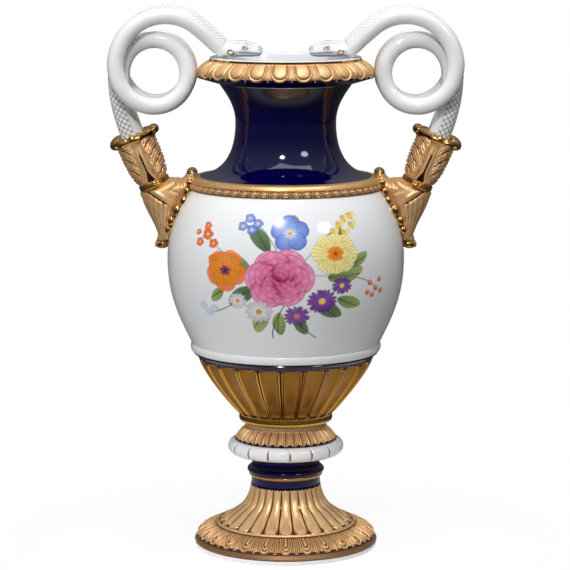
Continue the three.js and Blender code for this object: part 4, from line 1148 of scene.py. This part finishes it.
def hanging_leaf(along, across):
    """Fine strands that run down the outer half of the leaf and draw together at its tip."""
    strand = np.abs(np.sin((across * 7.5 - along * 1.6) * math.pi)) ** 0.6
    grown = step(along, 0.22, 0.4) * step(along + (across - 0.3) * 0.9, 0.3, 0.55)
    return grown * (1.1 * strand - 0.75) - 0.7 * ridge(along, 0.9, 0.015)


def shoulder_leaf(along, across):
    """Strands across the leaf that lies over the shoulder, fanned out from the waist band."""
    strand = np.abs(np.sin((along * 11 + across * 1.6) * math.pi)) ** 0.6
    grown = step(along, 0.2, 0.45)
    return grown * (0.9 * strand - 0.6)


edge = curve((128.6, 317.6), (125.2, 303), (115.4, 293.1), (113.2, 280.1), 9)
fall_heights = belly_bottom + belly_fall[:, 1]
inner = np.interp(edge[:, 1], fall_heights, belly_fall[:, 0]) - 2.5
deep = np.interp(np.linspace(0, 4, 10), range(5), (18.9, 18.4, 16.4, 13.4, 10.4))
leaf_stations = [[98, 0, 329, 6, 15], [103, 0, 325, 13, 17.4], [107.4, 0, 321.4, 17.6, 18.6]]
leaf_stations += [[(x + low) / 2, 0, z, (x - low) / 2, half]
                  for (x, z), low, half in zip(edge, inner, deep)]
leaf_stations += [[110, 0, 273.3, 6, 7.5], [111.6, 0, 269.6, 4, 6]]
arm_stations = [
    [111.8, 0, 321.4, 10.4, 16.4], [100, 0, 320.9, 10.4, 16.4], [90, 0, 322.9, 8.8, 15.4],
    [85, 0, 328.2, 6.4, 13.5], [82.5, 0, 334.7, 4.8, 12.5], [83, 0, 338.5, 2.9, 10.5],
]
leaves = limb(leaf_stations, 96, 0.6, hanging_leaf, upright=True)
arm = limb(arm_stations, 72, 0.6, shoulder_leaf)
bobbles = [
    lump((out, side * deep, height), (size, size * 0.8, size * 1.1))
    for side in (-1, 1) for out, deep, height, size in (
        (84.4, 16.5, 328.0, 3.1), (86.4, 18, 320.6, 3.4), (89.0, 18.6, 312.6, 3.8),
        (94.8, 17.4, 303.8, 4.7), (100.2, 14.8, 294.4, 3.9), (103.2, 12.0, 286.0, 3.3),
    )
]
knob = lump((82.6, 0, 335.6), (4.9, 12.5, 4.6))
curl = lump((108.6, 0, 272.6), (7.0, 9.5, 4.4), 10)
shape, faces = gather([leaves[:2], arm[:2], *bobbles, knob, curl])
leaf_count = len(leaves[0]) + len(arm[0])
x, y, z = shape.T
slit_x, slit_z, slit_run, slit_drop = 123, 320.9, 0.846, 0.534
across_slit = (x - slit_x) * slit_drop - (z - slit_z) * slit_run
along_slit = (slit_x - x) * slit_run + (slit_z - z) * slit_drop
on_face = step(np.abs(y), 3, 8)
on_face[leaf_count:] = 0
slit = ridge(across_slit, 0, 0.8) * step(along_slit, 0, 4) * step(along_slit, 25, 20) * on_face
fold = ridge(across_slit, -3.6, 1.8) * step(along_slit, 0, 6) * step(along_slit, 25, 16) * on_face
shape[:, 1] -= np.sign(y) * (1.6 * slit - 1.2 * fold)
level = np.concatenate([leaves[2], arm[2]])
shade = np.clip(0.6 + 0.9 * level + 0.35 * fold[:leaf_count] - 1.2 * slit[:leaf_count], 0, 1)
shade = np.concatenate([shade, np.full(len(shape) - leaf_count, 0.6)])
# The curl is painted dark as shade.
shade[-len(curl[0]):] = 0.2
rolled = np.repeat([0.0, 1.0], [leaf_count, len(shape) - leaf_count])
pair("bracket", "matte_gilding", shape * mm, faces, matte_gilding, 60,
     proud=shade, burnish=rolled)
